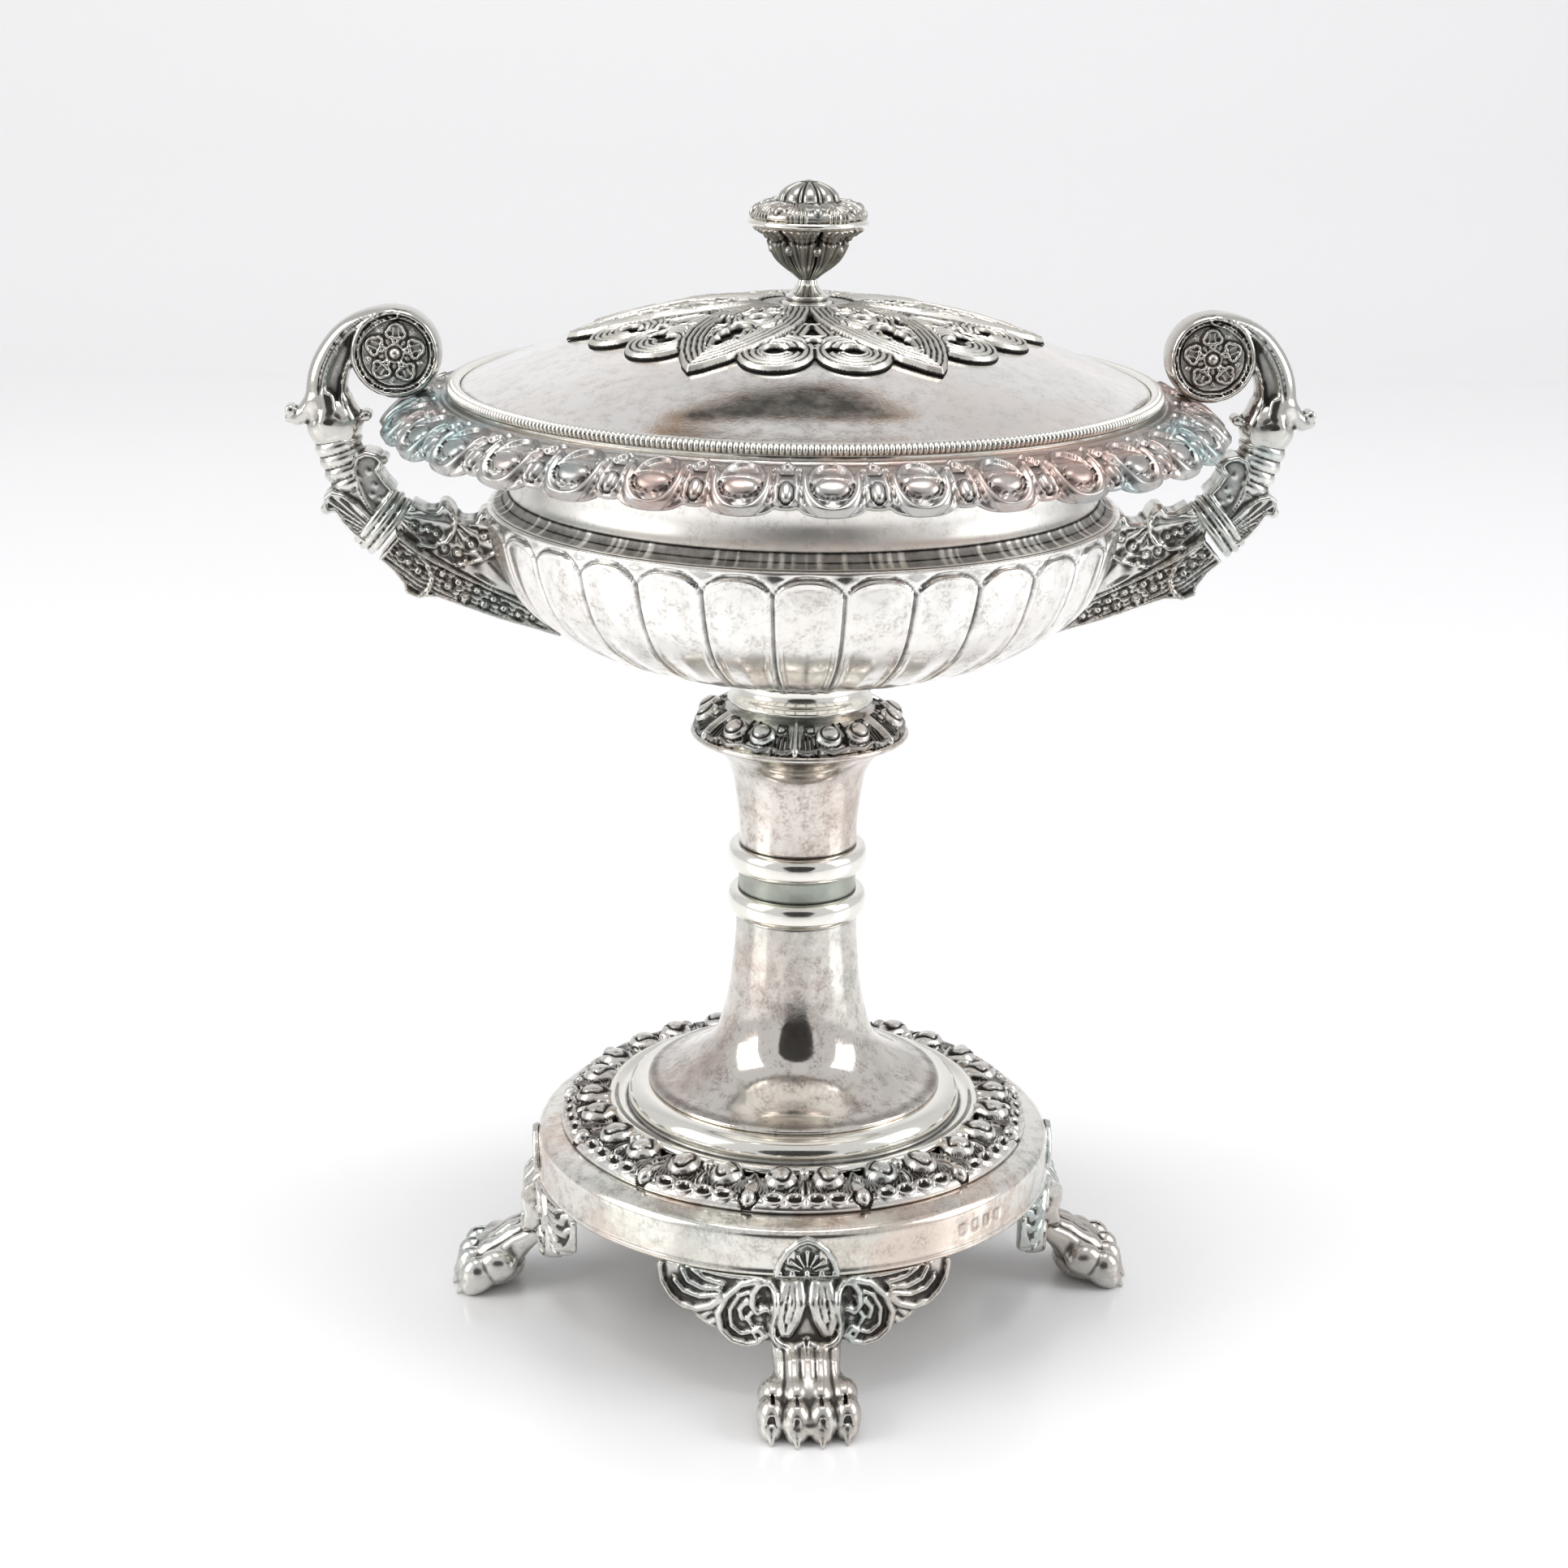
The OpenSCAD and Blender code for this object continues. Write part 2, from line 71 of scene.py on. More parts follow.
def grid_faces(nu, nv, wrap_u=True, wrap_v=True):
    iu = np.arange(nu if wrap_u else nu - 1); iv = np.arange(nv if wrap_v else nv - 1)
    a, b = np.meshgrid(iu, iv, indexing="ij")
    a2 = (a + 1) % nu; b2 = (b + 1) % nv
    return np.stack([a * nv + b, a2 * nv + b, a2 * nv + b2, a * nv + b2], -1).reshape(-1, 4)


def catmull(pts, step=0.3):
    """Centripetal Catmull-Rom through the points, sampled at about step."""
    p = np.asarray(pts, float)
    if len(p) == 2:
        n = max(1, int(np.ceil(np.linalg.norm(p[1] - p[0]) / step)))
        return p[0] + (p[1] - p[0]) * np.linspace(0, 1, n + 1)[:, None]
    q = np.vstack([2 * p[0] - p[1], p, 2 * p[-1] - p[-2]])
    out = []
    for i in range(1, len(q) - 2):
        p0, p1, p2, p3 = q[i - 1:i + 3]
        d = lambda a, b: max(np.linalg.norm(b - a), 1e-6) ** 0.5
        t0 = 0; t1 = t0 + d(p0, p1); t2 = t1 + d(p1, p2); t3 = t2 + d(p2, p3)
        n = max(1, int(np.ceil(np.linalg.norm(p2 - p1) / step)))
        t = np.linspace(t1, t2, n, endpoint=False)[:, None]
        A1 = (t1 - t) / (t1 - t0) * p0 + (t - t0) / (t1 - t0) * p1
        A2 = (t2 - t) / (t2 - t1) * p1 + (t - t1) / (t2 - t1) * p2
        A3 = (t3 - t) / (t3 - t2) * p2 + (t - t2) / (t3 - t2) * p3
        B1 = (t2 - t) / (t2 - t0) * A1 + (t - t0) / (t2 - t0) * A2
        B2 = (t3 - t) / (t3 - t1) * A2 + (t - t1) / (t3 - t1) * A3
        out.append((t2 - t) / (t2 - t1) * B1 + (t - t1) / (t2 - t1) * B2)
    out.append(p[-1:])
    return np.vstack(out)


def chain(*segs, step=0.3):
    """Joins smooth segments, keeping the corners between them."""
    out = []
    for s in segs:
        c = catmull(s, step)
        out.append(c if not out else c[1:] if np.allclose(out[-1][-1], c[0]) else c)
    return np.vstack(out)


def soften(p, closed=True, n=2):
    p = p.copy()
    for _ in range(n):
        if closed:
            p = 0.25 * np.roll(p, 1, 0) + 0.5 * p + 0.25 * np.roll(p, -1, 0)
        else:
            q = p.copy(); q[1:-1] = 0.25 * p[:-2] + 0.5 * p[1:-1] + 0.25 * p[2:]; p = q
    return p


def resample(p, step, closed=True):
    q = np.vstack([p, p[:1]]) if closed else p
    d = np.r_[0, np.cumsum(np.linalg.norm(np.diff(q, axis=0), axis=1))]
    n = max(8, int(round(d[-1] / step)))
    t = np.linspace(0, d[-1], n, endpoint=not closed)
    return np.stack([np.interp(t, d, q[:, 0]), np.interp(t, d, q[:, 1])], -1)


def revolve(name, prof, nseg=256, closed=True, step=None, soft=2, disp=None, cav=0.0, **kw):
    """Solid of revolution. Profile in (r, z), outer side listed upwards; closed ring, or axis to axis.
    disp(th, p, s) gives the relief along the surface normal and how sheltered each point is."""
    p = np.asarray(prof, float)
    if step: p = resample(p, step, closed)
    p = soften(p, closed, soft)
    if not closed: p[0, 0] = p[-1, 0] = 0
    if closed: t = np.roll(p, -1, 0) - np.roll(p, 1, 0)
    else:
        t = np.empty_like(p); t[1:-1] = p[2:] - p[:-2]; t[0] = p[1] - p[0]; t[-1] = p[-1] - p[-2]
    t /= np.maximum(np.linalg.norm(t, axis=1, keepdims=True), 1e-9)
    nr, nz = t[:, 1], -t[:, 0]
    s_ = np.r_[0, np.cumsum(np.linalg.norm(np.diff(p, axis=0), axis=1))]
    th = np.linspace(0, 2 * np.pi, nseg, endpoint=False)[:, None]
    r = np.broadcast_to(p[None, :, 0], (nseg, len(p))).copy(); z = np.broadcast_to(p[None, :, 1], r.shape).copy()
    c = np.full(r.shape, float(cav)) if np.isscalar(cav) else np.broadcast_to(np.asarray(cav)[None], r.shape).copy()
    if disp is not None:
        d, c2 = disp(th, p, s_)
        r = r + d * nr; z = z + d * nz
        c = np.maximum(c, c2) if np.isscalar(cav) else np.maximum(c, c2)
    V = np.stack([np.cos(th) * r, np.sin(th) * r, z], -1)
    n = len(p)
    if closed:
        return add_mesh(name, V.reshape(-1, 3), grid_faces(nseg, n), cav=c.ravel(), **kw)
    m = n - 2
    W = np.vstack([V[:, 1:-1].reshape(-1, 3), [[0, 0, p[0, 1]], [0, 0, p[-1, 1]]]])
    i = np.arange(nseg); j = (i + 1) % nseg
    bot = np.stack([np.full(nseg, len(W) - 2), j * m, i * m], -1)
    top = np.stack([np.full(nseg, len(W) - 1), i * m + m - 1, j * m + m - 1], -1)
    return add_mesh(name, W, [grid_faces(nseg, m, True, False), bot, top], cav=np.r_[c[:, 1:-1].ravel(), c[0, 0], c[0, -1]], **kw)


def sst(a, b, x):
    t = np.clip((x - a) / (b - a), 0, 1); return t * t * (3 - 2 * t)


def ridge(d, w):
    """Rounded ridge of half width w about d = 0."""
    q = np.clip(1 - (d / w) ** 2, 0, None); return np.sqrt(q)


def wrap(th, n, phase=0.0):
    """Angle from the nearest of n evenly spaced centres, the first at phase."""
    k = 2 * np.pi / n
    return (th - phase + k / 2) % k - k / 2


def ell(x, y, cx, cy, a, b):
    """Rough signed distance to an ellipse."""
    q = np.hypot((x - cx) / a, (y - cy) / b)
    g = np.hypot((x - cx) / a ** 2, (y - cy) / b ** 2)
    return q * (q - 1) / np.maximum(g, 1e-6)


def seg2(x, y, x0, y0, x1, y1):
    px, py = x - x0, y - y0; vx, vy = x1 - x0, y1 - y0
    h = np.clip((px * vx + py * vy) / (vx * vx + vy * vy), 0, 1)
    return np.hypot(px - h * vx, py - h * vy), h


def poly_d(x, y, pts):
    """Distance to a polyline and the position along it, 0 to 1."""
    best = None; tot = len(pts) - 1
    for i in range(tot):
        d, h = seg2(x, y, *pts[i], *pts[i + 1])
        if best is None: best, u = d, h / tot
        else:
            m = d < best; best = np.where(m, d, best); u = np.where(m, (i + h) / tot, u)
    return best, u


# ----------------------------------------------------------------------------
# solids from distance fields, meshed on a grid
# ----------------------------------------------------------------------------

def field(fn, lo, hi, h, B=8):
    """Samples fn on a grid, finely only near its surface."""
    lo = np.array(lo, float); n = np.ceil((np.array(hi, float) - lo) / h / B).astype(int)
    ax = [lo[a] + (np.arange(n[a]) * B + (B - 1) / 2) * h for a in range(3)]
    cc = np.stack(np.meshgrid(*ax, indexing="ij"), -1).reshape(-1, 3)
    fc = fn(cc); near = np.abs(fc) < h * B * 0.87 * 1.2 + 1.4
    G = np.empty((n[0], B, n[1], B, n[2], B), np.float32)
    G[:] = np.where(fc < 0, -1.0, 1.0).reshape(n[0], 1, n[1], 1, n[2], 1)
    idx = np.argwhere(near.reshape(n)); o = np.arange(B)
    off = np.stack(np.meshgrid(o, o, o, indexing="ij"), -1).reshape(1, -1, 3)
    for k in range(0, len(idx), 600):
        b = idx[k:k + 600]; pts = lo + (b[:, None] * B + off) * h
        G[b[:, 0], :, b[:, 1], :, b[:, 2], :] = fn(pts.reshape(-1, 3)).reshape(len(b), B, B, B)
    return G.reshape(n[0] * B, n[1] * B, n[2] * B), lo


def nets(F, lo, h):
    """Closed quad surface of F < 0."""
    h = np.broadcast_to(np.asarray(h, float), 3)
    F = np.pad(F, 1, constant_values=1.0).astype(np.float64); lo = np.asarray(lo, float) - h
    S = F < 0; X, Y, Z = F.shape
    cnt = np.zeros((X - 1, Y - 1, Z - 1), np.uint8)
    for i in (0, 1):
        for j in (0, 1):
            for k in (0, 1): cnt += S[i:X - 1 + i, j:Y - 1 + j, k:Z - 1 + k]
    act = (cnt > 0) & (cnt < 8); I = np.argwhere(act)
    idx = np.full(act.shape, -1, np.int64); idx[act] = np.arange(len(I))
    acc = np.zeros((len(I), 3)); num = np.zeros(len(I)); ix, iy, iz = I.T
    cor = [np.array((i, j, k)) for i in (0, 1) for j in (0, 1) for k in (0, 1)]
    for a in cor:
        for b in cor:
            if (b - a).sum() != 1 or np.abs(b - a).sum() != 1: continue
            fa = F[ix + a[0], iy + a[1], iz + a[2]]; fb = F[ix + b[0], iy + b[1], iz + b[2]]
            m = (fa < 0) != (fb < 0); t = fa[m] / (fa[m] - fb[m])
            acc[m] += a + t[:, None] * (b - a); num[m] += 1
    V = (I + acc / num[:, None]) * h + lo
    Q = []
    for ax_ in range(3):
        s0 = [slice(1, -1)] * 3; s1 = list(s0); s0[ax_] = slice(0, -1); s1[ax_] = slice(1, None)
        A, Bm = S[tuple(s0)], S[tuple(s1)]
        for flip, M in ((False, A & ~Bm), (True, ~A & Bm)):
            e = np.argwhere(M)
            if not len(e): continue
            e = e + 1; e[:, ax_] -= 1
            u, v = (ax_ + 1) % 3, (ax_ + 2) % 3
            cs = []
            for du, dv in ((-1, -1), (0, -1), (0, 0), (-1, 0)):
                c = e.copy(); c[:, u] += du; c[:, v] += dv; cs.append(idx[c[:, 0], c[:, 1], c[:, 2]])
            q = np.stack(cs, -1); Q.append(q[:, ::-1] if flip else q)
    return V, np.vstack(Q)


def neighbours(Q):
    e = np.vstack([Q[:, [0, 1]], Q[:, [1, 2]], Q[:, [2, 3]], Q[:, [3, 0]]]); return np.vstack([e, e[:, ::-1]])


def averaged(V, E, n, keep=0.0):
    c = np.maximum(np.bincount(E[:, 0], minlength=len(V)), 1)[:, None]
    for _ in range(n):
        m = np.stack([np.bincount(E[:, 0], weights=V[E[:, 1], a], minlength=len(V)) for a in range(3)], -1) / c
        V = keep * V + (1 - keep) * m
    return V


def normals(V, Q):
    n = np.cross(V[Q[:, 2]] - V[Q[:, 0]], V[Q[:, 3]] - V[Q[:, 1]])
    N = np.stack([np.bincount(Q.ravel(), weights=np.repeat(n[:, a], 4), minlength=len(V)) for a in range(3)], -1)
    return N / np.maximum(np.linalg.norm(N, axis=1, keepdims=True), 1e-9)


def cavity(V, Q, n=7, gain=3.2, base=0.10):
    """How far each point lies below its smoothed surroundings."""
    E = neighbours(Q); N = normals(V, Q)
    d1 = ((averaged(V, E, 3) - V) * N).sum(1); d2 = ((averaged(V, E, n * 2) - V) * N).sum(1)
    return np.clip(gain * (d1 * 1.6 + d2) + base, 0, 1)


def smin(a, b, k):
    h = np.clip(0.5 + 0.5 * (b - a) / k, 0, 1); return b + (a - b) * h - k * h * (1 - h)


def smax(a, b, k): return -smin(-a, -b, k)


def poly_sd(x, y, pts):
    """Signed distance to a closed outline."""
    p = np.asarray(pts, float); best = np.full(x.shape, 1e18); s = np.ones(x.shape)
    for i in range(len(p)):
        a, b = p[i], p[i - 1]; ex, ey = b - a; wx, wy = x - a[0], y - a[1]
        h = np.clip((wx * ex + wy * ey) / (ex * ex + ey * ey), 0, 1)
        best = np.minimum(best, (wx - h * ex) ** 2 + (wy - h * ey) ** 2)
        c1, c2, c3 = y >= a[1], y < b[1], ex * wy > ey * wx
        f = (c1 & c2 & c3) | (~c1 & ~c2 & ~c3); s = np.where(f, -s, s)
    return s * np.sqrt(best)


def along(x, z, path):
    """Signed offset from a path in a plane, arc length, and the path's further columns there."""
    p = np.asarray(path, float); best = np.full(x.shape, 1e9); dn = np.zeros(x.shape); arc = np.zeros(x.shape)
    ex = [np.zeros(x.shape) for _ in range(p.shape[1] - 2)]; s0 = 0.0
    for i in range(len(p) - 1):
        vx, vz = p[i + 1, :2] - p[i, :2]; L = math.hypot(vx, vz); px, pz = x - p[i, 0], z - p[i, 1]
        h = np.clip((px * vx + pz * vz) / (L * L), 0, 1); qx, qz = px - h * vx, pz - h * vz; d = qx * qx + qz * qz
        m = d < best; best = np.where(m, d, best); dn = np.where(m, np.sign(vx * qz - vz * qx), dn); arc = np.where(m, s0 + h * L, arc)
        for k in range(len(ex)): ex[k] = np.where(m, p[i, 2 + k] + h * (p[i + 1, 2 + k] - p[i, 2 + k]), ex[k])
        s0 += L
    return np.where(dn < 0, -1.0, 1.0) * np.sqrt(best), arc, *ex


def plate(d2, y, b, r):
    """Outline d2 pushed out to +-b, edges rounded by r."""
    q0, q1 = d2 + r, np.abs(y) - b + r
    return np.minimum(np.maximum(q0, q1), 0) + np.hypot(np.maximum(q0, 0), np.maximum(q1, 0)) - r


def oval(dn, y, a, b, p=2.0):
    return (((np.abs(dn) / a) ** p + (np.abs(y) / b) ** p) ** (1 / p) - 1) * np.minimum(a, b)

# ----------------------------------------------------------------------------
# materials
# ----------------------------------------------------------------------------

def silver(name, base=(0.90, 0.885, 0.85), rough=0.16, tarnish=0.35, speckle=0.4, dark=(0.035, 0.033, 0.03),
           tint=(0.60, 0.47, 0.42), tint2=(0.42, 0.52, 0.52), tint_amt=0.25, cav_amt=1.0, bump=0.15, hair=0.1):
    m = bpy.data.materials.new(name); m.use_nodes = True
    nt = m.node_tree; N = nt.nodes; L = nt.links
    for n in list(N): N.remove(n)
    out = N.new("ShaderNodeOutputMaterial"); bs = N.new("ShaderNodeBsdfPrincipled")
    L.new(bs.outputs[0], out.inputs[0])
    bs.inputs["Metallic"].default_value = 1.0
    tc = N.new("ShaderNodeTexCoord")

    def noise(scale, detail=4, rough_=0.6, seed=(0, 0, 0)):
        mp = N.new("ShaderNodeMapping"); mp.inputs["Location"].default_value = seed
        L.new(tc.outputs["Object"], mp.inputs["Vector"])
        n = N.new("ShaderNodeTexNoise"); n.inputs["Scale"].default_value = scale
        n.inputs["Detail"].default_value = detail; n.inputs["Roughness"].default_value = rough_
        L.new(mp.outputs[0], n.inputs["Vector"]); return n

    def ramp(src, lo, hi, a=0.0, b=1.0):
        r = N.new("ShaderNodeMapRange"); r.inputs["From Min"].default_value = lo; r.inputs["From Max"].default_value = hi
        r.inputs["To Min"].default_value = a; r.inputs["To Max"].default_value = b
        L.new(src, r.inputs["Value"]); return r.outputs[0]

    def math(op, a, b):
        n = N.new("ShaderNodeMath"); n.operation = op
        for i, x in enumerate((a, b)):
            if isinstance(x, (int, float)): n.inputs[i].default_value = x
            else: L.new(x, n.inputs[i])
        return n.outputs[0]

    def mix(fac, a, b):
        n = N.new("ShaderNodeMix"); n.data_type = "RGBA"
        if isinstance(fac, (int, float)): n.inputs[0].default_value = fac
        else: L.new(fac, n.inputs[0])
        for i, x in ((6, a), (7, b)):
            if isinstance(x, tuple): n.inputs[i].default_value = (*x, 1)
            else: L.new(x, n.inputs[i])
        return n.outputs[2]

    big = noise(26, 3, 0.55)                       # drifting tarnish clouds
    hue = noise(38, 2, 0.5, (3.1, 1.7, 0.4))       # where it goes pink or teal
    fine = noise(1500, 3, 0.7, (0.3, 0.9, 0.2))    # grains
    mid = noise(320, 4, 0.65, (1.3, 0.2, 2.2))
    cav = N.new("ShaderNodeAttribute"); cav.attribute_name = "cav"
    cavf = cav.outputs["Fac"]
    col = mix(ramp(hue.outputs["Fac"], 0.42, 0.60), (*[base[i] * (1 - tint_amt) + tint[i] * tint_amt for i in range(3)],),
              (*[base[i] * (1 - tint_amt) + tint2[i] * tint_amt for i in range(3)],))
    edge = math("ADD", math("MULTIPLY", math("SUBTRACT", mid.outputs["Fac"], 0.5), 0.45), math("MULTIPLY", math("SUBTRACT", fine.outputs["Fac"], 0.5), 0.30))
    clouds = ramp(math("ADD", big.outputs["Fac"], edge), 0.41, 0.57)      # the film is broken up along its edges
    col = mix(math("MULTIPLY", clouds, tarnish), base, col)
    # speckle where the tarnish film is broken
    sp = math("MULTIPLY", ramp(mid.outputs["Fac"], 0.47, 0.62), ramp(fine.outputs["Fac"], 0.42, 0.60))
    sp = math("MULTIPLY", sp, speckle)
    col = mix(sp, col, (0.36, 0.31, 0.28))
    # oxidised recesses together with painted shade in them, with an uneven edge: the cav attribute pulls the colour
    # toward dark
    ce = math("ADD", cavf, math("MULTIPLY", math("SUBTRACT", mid.outputs["Fac"], 0.5), 0.35))
    ce = ramp(ce, 0.12, 0.88)
    ce = math("MULTIPLY", ce, cav_amt)
    col = mix(ce, col, dark)
    L.new(col, bs.inputs["Base Color"])
    r = math("ADD", ramp(mid.outputs["Fac"], 0.35, 0.7, rough, rough + 0.08), math("MULTIPLY", ce, 0.28))
    r = math("ADD", r, math("MULTIPLY", clouds, 0.04 * tarnish))
    L.new(r, bs.inputs["Roughness"])
    if bump > 0:
        b = N.new("ShaderNodeBump"); b.inputs["Strength"].default_value = bump; b.inputs["Distance"].default_value = 0.0001
        L.new(math("ADD", math("MULTIPLY", fine.outputs["Fac"], 0.5), mid.outputs["Fac"]), b.inputs["Height"])
        L.new(b.outputs[0], bs.inputs["Normal"])
    return m


M_POL = silver("silver_polished", base=(0.84, 0.82, 0.77), tarnish=0.9, speckle=0.55, rough=0.13, tint=(0.58, 0.40, 0.30), tint2=(0.40, 0.48, 0.43), tint_amt=0.55)
M_LID = silver("silver_lid", base=(0.90, 0.88, 0.85), tarnish=0.8, speckle=0.3, rough=0.07, tint=(0.70, 0.52, 0.44), tint2=(0.60, 0.60, 0.57), tint_amt=0.30)
M_STEM = silver("silver_stem", base=(0.74, 0.70, 0.65), tarnish=0.95, speckle=0.75, rough=0.08, tint=(0.44, 0.33, 0.28), tint2=(0.42, 0.44, 0.40), tint_amt=0.6)
M_BRIGHT = silver("silver_bright", base=(0.88, 0.86, 0.80), tarnish=0.1, speckle=0.05, rough=0.09, tint_amt=0.1, bump=0.05)
M_RIM = silver("silver_rim", base=(0.50, 0.49, 0.47), tarnish=1.0, speckle=0.25, rough=0.27, tint=(0.44, 0.29, 0.25), tint2=(0.22, 0.36, 0.38), tint_amt=0.7, dark=(0.035, 0.03, 0.026))
M_FIN = silver("silver_finial", base=(0.50, 0.48, 0.44), tarnish=0.9, speckle=0.25, rough=0.20, tint=(0.40, 0.33, 0.28), tint2=(0.26, 0.34, 0.33), tint_amt=0.6, dark=(0.03, 0.026, 0.022))
M_CHASED = silver("silver_chased", base=(0.78, 0.76, 0.72), tarnish=0.9, speckle=0.2, rough=0.17, tint=(0.50, 0.40, 0.36), tint2=(0.32, 0.42, 0.42), tint_amt=0.45, dark=(0.03, 0.026, 0.022))
M_CAST = silver("silver_cast", base=(0.74, 0.73, 0.69), tarnish=1.0, speckle=0.2, rough=0.18, tint=(0.42, 0.36, 0.32), tint2=(0.30, 0.41, 0.41), tint_amt=0.6, dark=(0.035, 0.03, 0.026), cav_amt=0.92)
M_BAND = silver("silver_band", base=(0.42, 0.43, 0.37), tarnish=0.8, speckle=0.5, rough=0.26, tint=(0.36, 0.37, 0.33), tint2=(0.28, 0.34, 0.31), tint_amt=0.6)
M_BOWL = silver("silver_bowl", tarnish=0.6, speckle=0.5, rough=0.15, tint=(0.62, 0.48, 0.42), tint2=(0.50, 0.54, 0.50), tint_amt=0.3)
M_NECK = silver("silver_neck", base=(0.93, 0.91, 0.87), tarnish=0.5, speckle=0.3, rough=0.32, tint=(0.72, 0.58, 0.48), tint_amt=0.3, bump=0.1)
M_TRACERY = silver("silver_tracery", base=(0.70, 0.68, 0.63), tarnish=0.6, speckle=0.2, rough=0.33, tint=(0.55, 0.46, 0.42), tint2=(0.45, 0.52, 0.50), tint_amt=0.3)
M_HORN = silver("silver_horn", base=(0.62, 0.61, 0.57), tarnish=0.7, speckle=0.15, rough=0.11, tint=(0.50, 0.42, 0.38), tint2=(0.34, 0.42, 0.42), tint_amt=0.4)
M_HIDDEN = silver("silver_dull", tarnish=1.0, speckle=0.6, rough=0.35, base=(0.7, 0.68, 0.64))

for n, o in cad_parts.items():
    if n in ("finial_stud", "finial_washer", "finial_nut"): mt = M_HIDDEN
    elif n.startswith("lid_dome"): mt = M_LID
    elif n.startswith("stem_") and "ring" not in n: mt = M_STEM
    elif n.startswith(("handle_", "foot_")): mt = M_CAST
    elif n in ("rim_border", "base_flower_band", "lid_tracery", "stem_flower_collar"): mt = M_CHASED
    elif "ring" in n or n in ("finial_ledge", "lid_bead_edge", "base_step_moulding"): mt = M_BRIGHT
    else: mt = M_POL
    o.data.materials.clear(); o.data.materials.append(mt)

# ----------------------------------------------------------------------------
# base
# ----------------------------------------------------------------------------
FR = -math.pi / 2
prof = chain([(53.1, 33.2), (53.1, 32.0)], [(53.1, 32.0), (55.2, 32.0)], [(55.2, 32.0), (55.9, 32.35), (55.9, 33.1), (55.62, 33.5)],
             [(55.62, 33.5), (55.6, 40.3)], [(55.6, 40.3), (55.45, 41.0), (54.9, 41.7), (54.0, 42.25), (52.5, 42.75), (50.5, 43.3)],
             [(50.5, 43.3), (40.2, 45.6)], [(40.2, 45.6), (40.2, 44.3)], [(40.2, 44.3), (50, 41.9), (53.4, 40.9), (54.25, 40.0)],
             [(54.25, 40.0), (54.25, 33.2)], [(54.25, 33.2), (53.1, 33.2)], step=0.45)[:-1]

def plinth_d(th, p, s):
    x = th * 55.6; r, z = p[:, 0][None], p[:, 1][None]
    d = np.zeros((len(th), p.shape[0])); c = np.zeros_like(d)
    wall = (r > 55.0) & (z > 33.6) & (z < 40.6)
    # gentle hand-worked unevenness of the sheet
    d += 0.05 * np.sin(5 * th + 0.7) * np.sin(0.6 * z) + 0.03 * np.sin(13 * th + 2.0)
    # four blank struck marks, one round-topped cartouche each
    for k, (ang, zz, a, b) in enumerate(STAMPS):
        u = wrap(th, 1, math.radians(ang)) * 55.6; q = np.maximum(np.abs(u) - a, np.abs(z - zz) - b)
        m = wall * (1 - sst(-0.25, 0.1, q))
        # the sunk marks are painted darker inside and along their edges, oxide together with painted shade
        d -= 0.32 * m; c = np.maximum(c, m * 0.55 * np.exp(-((q + 0.25) / 0.3) ** 2))
        c = np.maximum(c, m * 0.25)
    # painted shade: a dark line in the crease at the foot of the wall, and a dark top inside r 50.4 under the flower
    # band
    c = np.maximum(c, 0.25 * np.exp(-((z - 33.55) / 0.3) ** 2) * (r > 55))
    c = np.maximum(c, 0.6 * sst(50.9, 50.4, r) * (z > 43))
    return d, c
STAMPS = [(-54.0, 37.0, 1.05, 1.35), (-50.4, 37.0, 1.05, 1.35), (-46.8, 37.0, 1.05, 1.35), (-43.4, 37.0, 1.05, 1.35)]
revolve("v_base_plinth", prof, 720, disp=plinth_d, soft=1, mat=M_POL, replaces=["base_plinth"], slot="polished_silver")

# band of buds and leaves, one unit every 30 degrees
prof = chain([(40.6, 45.55), (50.3, 43.4)], [(50.3, 43.4), (50.55, 44.0), (50.0, 44.9)],
             [(50.0, 44.9), (48.0, 45.9), (45.6, 46.5), (43.0, 46.7), (41.3, 46.9), (40.7, 46.6)], [(40.7, 46.6), (40.6, 45.55)], step=0.26)[:-1]

def bump_ball(x, y, cx, cy, rad, h=1.0):
    q = np.clip(1 - ((x - cx) ** 2 + (y - cy) ** 2) / rad ** 2, 0, None); return h * rad * np.sqrt(q)

